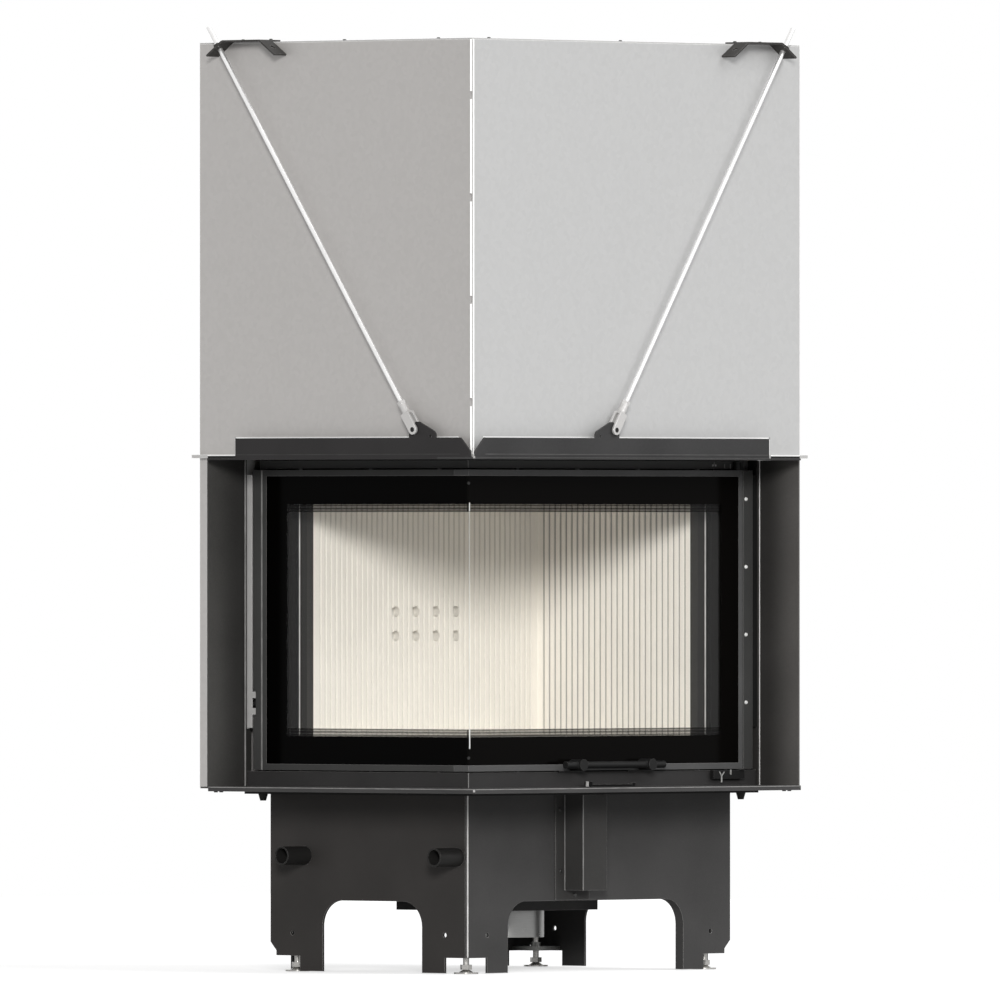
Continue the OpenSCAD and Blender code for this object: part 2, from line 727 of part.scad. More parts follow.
post_mid_y = (post_y[0] + post_y[1]) / 2;
module guide_rail_right() place() color("#8f8e8c") guide_rail(right_in, post_mid_x);
module guide_rail_rear() place() color("#9a9896") left_side() guide_rail(rear_in, post_mid_y);

// Tapered rubber buffers under the tray, below the door posts
buffer_c = door_in + sheet_t + gap + buffer_d / 2;
buffer_tip_share = 0.6;
module buffer() {
    translate([0, 0, tray_z - buffer_h])
        cylinder(d1 = buffer_d * buffer_tip_share, d2 = buffer_d, h = buffer_h);
    translate([0, 0, tray_z]) cylinder(d = buffer_d, h = tray_h - sheet_t);
}
module door_buffers() place() color("#262524") {
    translate([post_mid_x, buffer_c, 0]) buffer();
    translate([buffer_c, post_mid_y, 0]) buffer();
}

// Firebox body: tray, walls, floor, and the face that the door's seal meets
fire_back = wall_y + wall_t;
fire_right = wall_x + wall_t;
window_low = door_z + rail_w;
module tray() difference() {
    block([door_in, right_in], [door_in, rear_in], [tray_z, sill_z]);
    block([door_in + sheet_t, right_in - sheet_t], [door_in + sheet_t, rear_in - sheet_t],
        [tray_z - cut, sill_z - sheet_t]);
    block([lever_x - crank_l - crank_w, lever_x + crank_l + crank_w], [door_in - cut, door_in + sheet_t + cut],
        [sill_under - cut, sill_z - sheet_t]);
}
module firebox_body() place() color("#3b3937") {
    tray();
    z = [sill_z, wall_top];
    floor_z = hearth_z - hearth_t;
    block([fire_face, fire_right], [wall_y, fire_back], z);
    block([wall_x, fire_right], [fire_face, wall_y], z);
    block([fire_face, wall_x], [fire_face, wall_y], [floor_z - wall_t, floor_z]);
    for (band = [[sill_z, window_low], [door_top - rail_w, wall_top]]) {
        block([fire_face, wall_x], [fire_face, fire_face + wall_t], band);
        block([fire_face, fire_face + wall_t], [fire_face + wall_t, wall_y], band);
    }
    block([fire_right, frame_right - cut], [fire_face, fire_face + wall_t], [sill_z, door_top]);
    block([fire_face, fire_face + wall_t], [fire_back, frame_rear - cut], [sill_z, door_top]);
}

// Smoke dome: a sheet cone from the firebox walls to the flue collar
flue_x = (fire_face + fire_right) / 2;
flue_y = (fire_face + fire_back) / 2;
collar_d = flue_d + 2 * flue_t;
dome_top = wall_top + dome_h;
module dome_shape(inset, low, high) hull() {
    block([fire_face + inset, fire_right - inset], [fire_face + inset, fire_back - inset],
        [wall_top - low, wall_top + cut]);
    translate([flue_x, flue_y, dome_top + high - cut]) cylinder(d = collar_d - inset, h = cut, $fn = 32);
}
module smoke_dome() place() color("#444240") difference() {
    dome_shape(0, 0, 0);
    dome_shape(wall_t, cut, cut);
}
module flue_collar() place() color("#4a4846")
    translate([flue_x, flue_y, dome_top]) difference() {
        cylinder(d = collar_d, h = collar_l, $fn = 96);
        translate([0, 0, -cut]) cylinder(d = flue_d, h = collar_l + 2 * cut, $fn = 96);
    }

// Ribbed ceramic: a slab with grooves cut along its face, drawn flat and pulled up
module ribbed(len, thick) difference() {
    square([len, thick]);
    n = floor(len / rib_pitch);
    for (i = [1 : n - 1]) translate([(i + (len / rib_pitch - n) / 2) * rib_pitch, 0])
        polygon([[-groove_w / 2, -cut], [groove_w / 2, -cut], [groove_w / 2, 0],
            [groove_w / 4, groove_d], [-groove_w / 4, groove_d], [-groove_w / 2, 0]]);
}
back_len = lining_x - lining_x_start;
side_len = lining_y - lining_y_start;
hole_x = 351;
hole_pitch = 49;
hole_z = [548.5, 588.5];
hole_deep = 12;
module lining_back() place() color("#e6dfd2") difference() {
    translate([lining_x_start, lining_y, hearth_z]) linear_extrude(baffle_z - hearth_z)
        ribbed(back_len, lining_t);
    for (i = [0 : 3], z = hole_z)
        rod_y(hole_x + i * hole_pitch, [lining_y - cut, lining_y + hole_deep], z, air_hole_d);
}
module lining_right() place() color("#e2dbce") left_side()
    translate([lining_y_start, lining_x, hearth_z]) linear_extrude(baffle_z - hearth_z)
        ribbed(side_len, lining_t);
module lining_floor() place() color("#dcd4c6") {
    block([fire_face + wall_t, wall_x], [fire_face + wall_t, wall_y], [hearth_z - hearth_t, hearth_z]);
}
module baffle_plate() place() color("#c9bda6")
    block([fire_face + wall_t, wall_x], [fire_face + wall_t + baffle_gap, wall_y],
        [baffle_z, baffle_z + baffle_t]);
// Steel trim beside each ceramic wall, folded back to the firebox wall
module trim(len0, face) {
    z = [hearth_z, baffle_z];
    block([len0, lining_x_start], [face, face + sheet_t], z);
}
trim_start = fire_face + wall_t + gap;
module wall_trims() place() color("#42403e") {
    trim(trim_start, lining_y);
    block([trim_start, trim_start + sheet_t], [lining_y + sheet_t, wall_y], [hearth_z, baffle_z]);
    left_side() {
        trim(trim_start, lining_x);
        block([trim_start, trim_start + sheet_t], [lining_x + sheet_t, wall_x], [hearth_z, baffle_z]);
    }
}

// Door carriage: side frame, posts, and beams over and under the door. A thin flange on each post
// hides the rail; the rear one has a window at the roller
beam_front = door_in + rail_w;
beam_back = door_in + post_depth + post_gap;
module frame_side(len) {
    for (z = [[door_z, door_z + rail_w], [door_top - rail_w, door_top]])
        block([door_in, len], [door_in, frame_back], z);
    block([len - rail_w, len], [door_in, frame_back], [door_z + rail_w, door_top - rail_w]);
    lip_y = [door_in + glass_t + gap, door_in + glass_t + gap + sheet_t];
    block([door_in + glass_t + cut, len - rail_w], lip_y, [door_z + rail_w, door_z + rail_w + glass_lip]);
    block([door_in + glass_t + cut, len - rail_w], lip_y, [door_top - rail_w - glass_lip, door_top - rail_w]);
    block([len - rail_w - glass_lip, len - rail_w], lip_y,
        [door_z + rail_w + glass_lip, door_top - rail_w - glass_lip]);
}
axle_pin = 6;
axle_gap = 0.9;
flange_w = [10.6, 6];
post_flange_t = 1.5;
window_half = 20;
module carriage_beams(z) {
    block([beam_front, post_x[0]], [beam_front, beam_back], z);
    block([beam_front, beam_back], [beam_back, post_y[0]], z);
}
// Column of a post, with the open groove at its back that the cable runs in
module post_column(wide, middle) difference() {
    block(wide, [beam_front, beam_back], [beam_low, beam_top]);
    block([middle - cable_way / 2, middle + cable_way / 2], [cable_y - cable_way / 2, beam_back + cut],
        [beam_low - cut, beam_top + cut]);
}
module door_carriage() place() color("#3a3836") {
    left_side() difference() {
        frame_side(frame_rear);
        block([door_in - cut, frame_back + gap], [door_in - cut, frame_back + cut],
            [door_z - cut, door_top + cut]);
    }
    for (z = [[beam_low, beam_low + beam_h], [beam_top - beam_h, beam_top]]) carriage_beams(z);
    post_column(post_x, post_mid_x);
    left_side() post_column(post_y, post_mid_y);
    difference() {
        block([post_x[0], post_x[1]], [door_in, beam_front], [door_z, door_top]);
        at_post_screws() screw_hole();
    }
    block([door_in, beam_front], [post_y[0], post_y[1]], [door_z, door_top]);
    block([post_x[1], post_x[1] + flange_w[0]], [door_in, door_in + post_flange_t], [door_z, door_top]);
    for (z = [[door_z, roller_z - window_half], [roller_z + window_half, door_top]])
        block([door_in, door_in + post_flange_t], [post_y[1], post_y[1] + flange_w[1]], z);
    rod_x([post_x[1], right_in - rail_lip - axle_gap], roller_y, roller_z, axle_pin);
    rod_y(roller_y, [post_y[1], rear_in - rail_lip - axle_gap], roller_z, axle_pin);
}
module front_frame() place() color("#403f3e") frame_side(frame_right);

// Ceramic glass panes, butted at the free corner
pane_gap = 0.2;
pane_z = [door_z + rail_w + pane_gap, door_top - rail_w - pane_gap];
module front_glass() place() color("#1c1a18")
    block([door_in, frame_right - rail_w - pane_gap], [door_in, door_in + glass_t], pane_z);
module side_glass() place() color("#1c1a18")
    block([door_in, door_in + glass_t], [door_in + glass_t + pane_gap, frame_rear - rail_w - pane_gap],
        pane_z);
// Rope seal on the back of each frame, a square rope along three sides
module seal(len) {
    for (z = [door_z, door_top - seal_t])
        block([fire_face, len], [frame_back, seal_back], [z, z + seal_t]);
    block([len - seal_t, len], [frame_back, seal_back], [door_z + seal_t, door_top - seal_t]);
}
module door_seals() place() color("#55524e") {
    seal(frame_right);
    left_side() seal(frame_rear);
}
clip_d = 5;
clip_in = 22;
module corner_clips() place() color("#b9b7b3")
    for (z = [door_z + clip_in, door_top - clip_in])
        translate([door_in, door_in, z]) rotate([90, 0, -45]) difference() {
            cylinder(d = clip_d, h = clip_d, center = true);
            translate([-clip_d, -clip_d, -clip_d]) cube([clip_d * 2, clip_d * 2, clip_d]);
        }

// Handle: bar, two stand-offs and the two straps under the bottom rail
handle_up = 9;
bar_in = 9;
bar_z = door_z + handle_up;
strap_pad = [61, 3.5, 3];
handle_x = (door_in + frame_right) / 2;
module door_handle() place() color("#232221") {
    rod_x([handle_x - bar_l / 2, handle_x + bar_l / 2], door_in - stand_l + bar_in, bar_z, bar_d);
    for (x = [handle_x - stand_pitch / 2, handle_x + stand_pitch / 2]) {
        rod_y(x, [door_in - stand_l, door_in], bar_z, stand_d);
        block([x - strap_pad[0] / 2, x + strap_pad[0] / 2], [door_in, door_in + strap_pad[1]],
            [door_z - strap_pad[2], door_z]);
    }
}
// Hinges of the front frame for cleaning: a knuckle over the door, a block and a knuckle under it
knuckle_in = 10;
knuckle_x = frame_right - knuckle_in;
knuckle_out = 4;
hinge_block_x = [frame_right - hinge_l, frame_right - post_gap];
hinge_z = [beam_low + post_gap, door_z - post_gap];
module door_hinges() place() color("#2a2928") {
    rod_z(knuckle_x, door_in + knuckle_out / 2, [door_top, beam_top - post_gap], knuckle_d);
    rod_z(knuckle_x, door_in - knuckle_out, [hinge_z[1], door_z], knuckle_d);
    block(hinge_block_x, [door_in - knuckle_out - post_gap, door_in + post_gap], hinge_z);
}
// Screws that join the frames to the beams, and those down the right post
screw_share = [0.2, 0.42, 0.64, 0.86];
side_share = [0.17, 0.5, 0.84];
rail_screw_d = 7;
module door_screws() place() color("#9b9995") {
    z_pair = [[door_z - low_gap, door_z], [door_top, door_top + beam_gap]];
    for (z = z_pair) {
        for (s = screw_share)
            rod_z(door_in + s * (frame_right - door_in), door_in + frame_d / 2, z, rail_screw_d);
        for (s = side_share)
            rod_z(door_in + frame_d / 2, door_in + s * (frame_rear - door_in), z, rail_screw_d);
    }
    at_post_screws() screw();
}
module at_post_screws() for (i = [0 : 3])
    translate([post_mid_x, door_in, roller_z + i * post_screw_pitch]) rotate([90, 0, 0]) children();

// Guide rollers on the carriage's axle pins
module roller_shape() difference() {
    cylinder(d = roller_d, h = roller_l);
    translate([0, 0, -cut]) cylinder(d = axle_pin + run_gap, h = roller_l + 2 * cut);
}
module roller_right() place() color("#1f1e1d")
    translate([post_x[1] + gap, roller_y, roller_z]) rotate([0, 90, 0]) roller_shape();
module roller_rear() place() color("#1f1e1d") left_side()
    translate([post_y[1] + gap, roller_y, roller_z]) rotate([0, 90, 0]) roller_shape();

// Counterweights hang behind the pulleys, each with a bore for its cable
module counterweight(post) difference() {
    y = pulley_c + cable_off;
    block([post - weight_w / 2, post + weight_w / 2], [y - weight_l / 2, y + weight_l / 2],
        [weight_top - weight_h, weight_top]);
    rod_z(post, y, [weight_top - weight_h - cut, weight_top + cut], cable_way);
}
module counterweight_right() place() color("#5d5a57") counterweight(post_mid_x);
module counterweight_rear() place() color("#5d5a57") left_side() counterweight(post_mid_y);
module pulley(post) translate([post - pulley_w / 2, pulley_c, pulley_z]) rotate([0, 90, 0]) difference() {
    union() {
        cylinder(d = pulley_run_d - cable_d - run_gap, h = pulley_w);
        for (h = [0, pulley_w - (pulley_w - cable_d - cut) / 2])
            translate([0, 0, h])
                cylinder(d = pulley_run_d + 2 * pulley_rim, h = (pulley_w - cable_d - cut) / 2);
    }
    translate([0, 0, -cut]) cylinder(d = axle_d + run_gap, h = pulley_w + 2 * cut);
}
module pulley_right() place() color("#77746f") pulley(post_mid_x);
module pulley_rear() place() color("#77746f") left_side() pulley(post_mid_y);
// Cables: the run to the door, the run to the weight, and the turn over the pulley. The straight runs
// stay at the pulleys: the posts and the weights slide along them
module cable_run(post, y, z) rod_z(post, y, z, cable_d);
module door_cables() place() color("#9c9a96") {
    cable_run(post_mid_x, cable_y, [beam_top - beam_h, pulley_z]);
    left_side() cable_run(post_mid_y, cable_y, [beam_top - beam_h, pulley_z]);
}
module weight_cables() place() color("#9c9a96") {
    cable_run(post_mid_x, pulley_c + cable_off, [weight_top - door_travel, pulley_z]);
    left_side() cable_run(post_mid_y, pulley_c + cable_off, [weight_top - door_travel, pulley_z]);
}
module cable_turn(post) translate([post, pulley_c, pulley_z]) rotate([90, 0, 90]) difference() {
    rotate_extrude() translate([cable_off, 0]) circle(d = cable_d);
    translate([-pulley_run_d, -2 * pulley_run_d, -pulley_w])
        cube([2 * pulley_run_d, 2 * pulley_run_d, 2 * pulley_w]);
}
module cable_turns() place() color("#9c9a96") {
    cable_turn(post_mid_x);
    left_side() cable_turn(post_mid_y);
}

// Upper casing
casing_high = casing_top - galv_t;
// Two folds that stand out on the diagonal at the glass corner, each notched for the locking tabs
module seam(side) difference() {
    translate([0, 0, casing_z]) rotate(-135)
        translate([-galv_t, side > 0 ? seam_gap / 2 : -seam_gap / 2 - galv_t, 0])
            cube([seam_out, galv_t, casing_high - casing_z]);
    for (i = [0 : tab_count - 1])
        translate([-seam_out, -seam_out, casing_top - tab_drop - i * tab_pitch - tab_h / 2])
            cube([seam_out - cut, seam_out - cut, tab_h]);
}
module casing_front() place() color("#c9c9c9") {
    difference() {
        block([0, casing_w], [0, galv_t], [casing_z, casing_high]);
        block([-cut, galv_t], [-cut, galv_t + cut], [casing_z - cut, casing_top]);
    }
    difference() {
        seam(1);
        block([0, seam_out], [0, seam_out], [casing_z - cut, casing_top]);
    }
}
module casing_left() place() color("#aba9a7") {
    block([0, galv_t], [galv_t, casing_d], [casing_z, casing_high]);
    difference() {
        seam(-1);
        block([0, seam_out], [0, seam_out], [casing_z - cut, casing_top]);
    }
    block([0, galv_t], [0, galv_t], [casing_z, casing_high]);
}
module casing_back() place() color("#b4b3b1") {
    block([galv_t, casing_w], [casing_d - galv_t, casing_d], [casing_z, casing_high]);
    block([casing_w - galv_t, casing_w], [galv_t, casing_d - galv_t], [casing_z, casing_high]);
}
module casing_top() place() color("#bdbcba") difference() {
    block([0, casing_w], [0, casing_d], [casing_high, casing_top]);
    at_top_screws() screw_hole();
    at_bracket_screws() screw_hole();
    rod_z(flue_x, flue_y, [casing_high - cut, casing_top + cut], collar_d + 2 * collar_slack, $fn = 96);
}
module casing_flange() place() color("#bfbdba") difference() {
    block([-flange_out, casing_w + flange_out], [-flange_out, casing_d + flange_out],
        [lintel_z + iron_t, casing_z]);
    block([galv_t, casing_w - galv_t], [galv_t, casing_d - galv_t], [lintel_z, casing_z + cut]);
}

// Lintel irons. Drawn for the front: u runs to the right, the ear stands on the upright leg
ear_low_share = 0.42;
ear_side_share = 0.72;
ear_top_shares = [0.62, 0.74];
module iron_upright(u_end, pin_u) {
    u0 = iron_open - iron_face;
    difference() {
        union() {
            polygon([[u0, 0], [u_end, 0], [u_end, iron_h], [u0 + miter_cut, iron_h],
                [u0, iron_h - miter_cut]]);
            translate([pin_u + pin_h - ear_l, iron_h]) polygon([[0, -cut], [0, pin_h / 2],
                [pin_h / 4, ear_h * ear_low_share], [ear_l * ear_top_shares[0], ear_h],
                [ear_l * ear_top_shares[1], ear_h], [ear_l - pin_h / 3, ear_h * ear_side_share],
                [ear_l, pin_h], [ear_l, -cut]]);
        }
        translate([pin_u, iron_h + pin_h]) circle(d = clevis_d);
        translate([pin_u - ear_hole_in, iron_h + ear_hole_d / 2]) circle(d = ear_hole_d);
    }
}
module lintel_front() place() color("#464646") {
    translate([0, 0, lintel_z]) linear_extrude(iron_t) ledge_front(0, iron_in);
    translate([0, 0, lintel_z]) stand_x(-iron_face, iron_t) iron_upright(casing_w - iron_back, pin_x);
}
module lintel_left() place() color("#343132") {
    difference() {
        translate([0, 0, lintel_z]) linear_extrude(iron_t) ledge_left(0, iron_in);
        block([-lip_front, iron_in + cut], [-cut, iron_in], [lintel_z - cut, lintel_z + iron_t + cut]);
    }
    left_side() difference() {
        translate([0, 0, lintel_z]) stand_x(-iron_face, iron_t) iron_upright(casing_d - iron_back, pin_y);
        block([-lip_front, iron_in], [-lip_front, 0], [lintel_z - cut, lintel_z + iron_t]);
    }
}

// Tie rods lie in a plane before each face, from the ear's pin to the bracket's slanted leg
strap_y = casing_d - strap_back - strap_flat / 2;
strap_x = casing_w - strap_back - strap_flat / 2;
pin_z = lintel_z + iron_h + pin_h;
clevis_d = 8;
ear_hole_in = 34;
nut_seat = 0.1;
// Rod angle from upright, so that the slanted leg stands square to the rod
function rod_run(fold, pin) = fold - pin;
function rod_rise() = casing_top - pin_z;
function rod_angle(fold, pin) = atan2(rod_run(fold, pin), rod_rise()) + asin(strap_leg / 2
    / sqrt(pow(rod_run(fold, pin), 2) + pow(rod_rise(), 2)));
function rod_reach(fold, pin) = sqrt(pow(rod_run(fold, pin), 2) + pow(rod_rise(), 2)
    - pow(strap_leg / 2, 2));
fold_y = strap_y + strap_flat / 2;
fold_x = strap_x + strap_flat / 2;
// Moves to the pin and tilts, so that +Z runs along the rod towards its bracket
module along_rod(pin, fold)
    translate([pin, -rod_off, pin_z]) rotate([0, rod_angle(fold, pin), 0]) children();
module one_rod(pin, fold) along_rod(pin, fold) translate([0, 0, fork_arm + cut])
    cylinder(d = rod_d, h = rod_reach(fold, pin) + rod_past - fork_arm);
module tie_rods() place() color("#d9d7d4") {
    one_rod(pin_x, fold_x);
    left_side() one_rod(pin_y, fold_y);
}
neck_d = 14;
lock_h = 6;
// Fork: two arms on a neck, with the clevis pin through arms and ear
module one_fork(pin, fold) along_rod(pin, fold) difference() {
    union() {
        rotate([90, 0, 0]) cylinder(d = fork_w, h = fork_w, center = true);
        translate([-fork_w / 2, -fork_w / 2, 0]) cube([fork_w, fork_w, fork_arm]);
        translate([0, 0, fork_arm]) cylinder(d = neck_d, h = fork_neck);
        translate([0, 0, fork_arm + fork_neck]) cylinder(d = nut_size[0] / cos(30), h = lock_h, $fn = 6);
    }
    translate([-fork_w, -fork_slot / 2, -fork_w])
        cube([fork_w * 2, fork_slot, fork_w + fork_arm - fork_slot / 2]);
    translate([0, 0, fork_arm + cut]) cylinder(d = rod_d + nut_seat, h = fork_neck * 2);
    rotate([90, 0, 0]) cylinder(d = clevis_d + run_gap, h = fork_w * 2, center = true);
}
module one_pin(pin) rod_y(pin, [-rod_off - fork_w / 2, -rod_off + fork_w / 2], pin_z, clevis_d);
module rod_forks() place() color("#cfcdca") {
    one_fork(pin_x, fold_x);
    left_side() one_fork(pin_y, fold_y);
    one_pin(pin_x);
    left_side() one_pin(pin_y);
}
// Bracket on the casing's top: a plate, and a strip whose ends are bent down square to the rod
module one_bracket(mid, fold, pin) difference() {
    tilt = rod_angle(fold, pin);
    front = -rod_off - strap_w / 2;
    union() {
        block([mid - strap_flat / 2, mid + strap_flat / 2], [front, strap_in],
            [casing_top, casing_top + strap_t]);
        for (side = [-1, 1]) translate([mid + side * strap_flat / 2, front, casing_top])
            rotate([0, side * tilt, 0]) translate([side < 0 ? -strap_leg : 0, 0, 0])
                cube([strap_leg, strap_w, strap_t]);
    }
    for (side = [-1, 1]) translate([mid + side * strap_flat / 2, -rod_off, casing_top])
        rotate([0, side * tilt, 0]) translate([side * strap_leg / 2, 0, -strap_t])
            cylinder(d = rod_d + 2 * gap, h = strap_t * 3);
    at_strap_screws(mid) screw_hole();
}
module rod_brackets() place() color("#33312f") {
    one_bracket(strap_x, fold_x, pin_x);
    left_side() one_bracket(strap_y, fold_y, pin_y);
}
module one_nut(pin, fold) along_rod(pin, fold)
    translate([0, 0, rod_reach(fold, pin) + strap_t]) difference() {
        cylinder(d = nut_size[0] / cos(30), h = nut_size[1], $fn = 6);
        translate([0, 0, -cut]) cylinder(d = rod_d + nut_seat, h = nut_size[1] + 2 * cut);
    }
module rod_nuts() place() color("#3a3835") {
    one_nut(pin_x, fold_x);
    left_side() one_nut(pin_y, fold_y);
}

base_front();
base_left();
base_back();
duct_cover();
cover_screws();
carrying_tubes();
foot_plates();
foot_front_left();
foot_front_right();
foot_rear_left();
foot_rear_right();
air_box();
air_spigot();
air_lever();
air_shutter();
sill_plate();
apron();
wing_right();
wing_left();
lower_cover();
guide_rail_right();
guide_rail_rear();
door_buffers();
firebox_body();
smoke_dome();
flue_collar();
lining_back();
lining_right();
lining_floor();
baffle_plate();
wall_trims();
door_carriage();
front_frame();
front_glass();
side_glass();
door_seals();
door_handle();
door_hinges();
door_screws();
roller_right();
roller_rear();
counterweight_right();
counterweight_rear();
pulley_right();
pulley_rear();
door_cables();
weight_cables();
cable_turns();
casing_front();
casing_left();
casing_back();
casing_top();
casing_flange();
lintel_front();
lintel_left();
tie_rods();
rod_forks();
rod_brackets();
rod_nuts();
corner_clips();
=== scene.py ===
"""A corner fireplace insert with a two-sided lifting glass door, dressed piece by piece from the floor up."""

import math

import bmesh
import bpy
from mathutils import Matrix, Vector


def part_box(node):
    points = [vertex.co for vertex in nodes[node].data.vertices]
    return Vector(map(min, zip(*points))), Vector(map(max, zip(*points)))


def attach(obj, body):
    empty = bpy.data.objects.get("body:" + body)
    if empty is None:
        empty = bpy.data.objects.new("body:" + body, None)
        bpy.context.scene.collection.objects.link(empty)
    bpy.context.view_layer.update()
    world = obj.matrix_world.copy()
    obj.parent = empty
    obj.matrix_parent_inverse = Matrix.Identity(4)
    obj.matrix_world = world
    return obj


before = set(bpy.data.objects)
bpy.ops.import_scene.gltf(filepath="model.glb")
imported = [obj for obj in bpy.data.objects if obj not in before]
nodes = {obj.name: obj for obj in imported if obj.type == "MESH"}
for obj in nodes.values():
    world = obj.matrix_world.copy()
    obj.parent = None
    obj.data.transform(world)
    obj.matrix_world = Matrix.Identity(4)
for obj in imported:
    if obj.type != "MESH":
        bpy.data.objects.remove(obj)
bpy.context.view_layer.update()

# Camera: the photographer stands far off at the free glass corner, so the faces hardly converge.
# The lens looks level from 0.70 m over the floor; the shift keeps the whole casing in the picture.
camera_place = (-28.3655, -25.7175, 0.7045)
camera_view = Vector((0.7408, 0.6717, 0))
eye = bpy.data.cameras.new("eye")
eye.lens, eye.sensor_width, eye.shift_y = 841, 36, 0.041
eye.clip_end = 200
photographer = bpy.data.objects.new("photographer", eye)
bpy.context.collection.objects.link(photographer)
photographer.location = camera_place
photographer.rotation_euler = camera_view.to_track_quat("-Z", "Y").to_euler()
bpy.context.scene.camera = photographer
bpy.context.scene.view_settings.view_transform = "Standard"


# Studio light: a soft key light from just above the camera that reaches deep into the firebox, and a
# weaker, wider one high over the wide side, so that the narrow side and the undersides stay darker.
def soft_sun(name, towards, units, spread, tint=(1, 1, 1)):
    """units is the light on a white card that faces the source, where 1 renders white."""
    sun = bpy.data.lights.new(name, "SUN")
    sun.energy, sun.angle, sun.color = units * math.pi, math.radians(spread), tint
    stand = bpy.data.objects.new(name, sun)
    bpy.context.collection.objects.link(stand)
    stand.location = Vector(towards) * 6
    stand.rotation_euler = Vector(towards).to_track_quat("Z", "Y").to_euler()


soft_sun("key_light", towards=(-0.72, -0.655, 0.232), units=0.66, spread=12, tint=(1, 0.992, 0.98))
soft_sun("high_light", towards=(0.20, -0.75, 0.63), units=0.40, spread=45, tint=(0.985, 0.992, 1))

# Room: plain white walls, far off. They fill the shadows softly, and the camera, the glass and the metal
# see them as plain white.
room = bpy.data.worlds.new("white_room")
bpy.context.scene.world = room
room.use_nodes = True
sky = room.node_tree
sky.nodes.clear()
path = sky.nodes.new("ShaderNodeLightPath")
through = sky.nodes.new("ShaderNodeMath")
through.operation = "MAXIMUM"
seen = sky.nodes.new("ShaderNodeMath")
seen.operation = "MAXIMUM"
sky.links.new(path.outputs["Is Camera Ray"], through.inputs[0])
sky.links.new(path.outputs["Is Transmission Ray"], through.inputs[1])
sky.links.new(through.outputs[0], seen.inputs[0])
sky.links.new(path.outputs["Is Glossy Ray"], seen.inputs[1])
fill = sky.nodes.new("ShaderNodeBackground")
fill.inputs["Color"].default_value = (1, 1, 1, 1)
fill.inputs["Strength"].default_value = 0.32
backdrop = sky.nodes.new("ShaderNodeBackground")
backdrop.inputs["Color"].default_value = (1, 1, 1, 1)
backdrop.inputs["Strength"].default_value = 1.0
blend = sky.nodes.new("ShaderNodeMixShader")
out = sky.nodes.new("ShaderNodeOutputWorld")
sky.links.new(seen.outputs[0], blend.inputs[0])
sky.links.new(fill.outputs[0], blend.inputs[1])
sky.links.new(backdrop.outputs[0], blend.inputs[2])
sky.links.new(blend.outputs[0], out.inputs["Surface"])

# Studio floor: a pale matt sheet, just under the feet. A glow that only the camera sees lifts it towards
# white, and the insert's shadow stays on it.
bpy.ops.mesh.primitive_plane_add(size=12, location=(0, 0, -0.0005))
floor = bpy.context.object
floor.name = "studio_floor"
lino = bpy.data.materials.new("studio_floor")
lino.use_nodes = True
web = lino.node_tree
web.nodes.clear()
matt = web.nodes.new("ShaderNodeBsdfDiffuse")
matt.inputs["Color"].default_value = (0.8, 0.8, 0.8, 1)
glow = web.nodes.new("ShaderNodeEmission")
glow.inputs["Strength"].default_value = 0.62
camera_only = web.nodes.new("ShaderNodeLightPath")
dark = web.nodes.new("ShaderNodeEmission")
dark.inputs["Strength"].default_value = 0
lift = web.nodes.new("ShaderNodeMixShader")
both = web.nodes.new("ShaderNodeAddShader")
end = web.nodes.new("ShaderNodeOutputMaterial")
web.links.new(camera_only.outputs["Is Camera Ray"], lift.inputs[0])
web.links.new(dark.outputs[0], lift.inputs[1])
web.links.new(glow.outputs[0], lift.inputs[2])
web.links.new(matt.outputs[0], both.inputs[0])
web.links.new(lift.outputs[0], both.inputs[1])
web.links.new(both.outputs[0], end.inputs["Surface"])
floor.data.materials.append(lino)


# Base: three folded plates of 4 mm steel with arches, welded at the corners and sprayed with matt
# heat-resistant black. The coat dries with a fine grain; its sharp edges are painted pale, partly thin rubbed
# paint and partly painted highlight.
def new_finish(name):
    """A new material, its node tree, its shader and the coordinates that stay with the piece."""
    material = bpy.data.materials.new(name)
    material.use_nodes = True
    web = material.node_tree
    return material, web, web.nodes["Principled BSDF"], web.nodes.new("ShaderNodeTexCoord").outputs["Object"]


def noise(web, place, scale, detail=2):
    """Soft random clouds, scale of them to a metre."""
    texture = web.nodes.new("ShaderNodeTexNoise")
    texture.inputs["Scale"].default_value = scale
    texture.inputs["Detail"].default_value = detail
    web.links.new(place, texture.inputs["Vector"])
    return texture


def mixed(web, one, two, share):
    """One number made of two; share is the second one's part. Sockets 2 and 3 are the mix node's numbers."""
    mix = web.nodes.new("ShaderNodeMix")
    mix.data_type = "FLOAT"
    mix.inputs[0].default_value = share
    web.links.new(one, mix.inputs[2])
    web.links.new(two, mix.inputs[3])
    return mix.outputs[0]


def shades(web, source, colour, tone, dark_end=0.0, pale_end=1.0):
    """Turns a number into a shade of the colour, from tone darker to tone paler between the two ends."""
    ramp = web.nodes.new("ShaderNodeValToRGB")
    dark, pale = ramp.color_ramp.elements
    dark.position, pale.position = dark_end, pale_end
    dark.color = [c * (1 - tone) for c in colour] + [1]
    pale.color = [min(1, c * (1 + tone)) for c in colour] + [1]
    web.links.new(source, ramp.inputs[0])
    return ramp.outputs[0]


def vary_roughness(web, source, shader, smooth, rough):
    """Lets a number move the shader's roughness between two values."""
    dull = web.nodes.new("ShaderNodeMapRange")
    dull.inputs["To Min"].default_value = smooth
    dull.inputs["To Max"].default_value = rough
    web.links.new(source, dull.inputs["Value"])
    web.links.new(dull.outputs[0], shader.inputs["Roughness"])


def grained(web, height, shader, strength, depth):
    """Raises a fine grain, depth metres high, under the shader's light."""
    relief = web.nodes.new("ShaderNodeBump")
    relief.inputs["Strength"].default_value = strength
    relief.inputs["Distance"].default_value = depth
    web.links.new(height, relief.inputs["Height"])
    web.links.new(relief.outputs[0], shader.inputs["Normal"])
    return relief


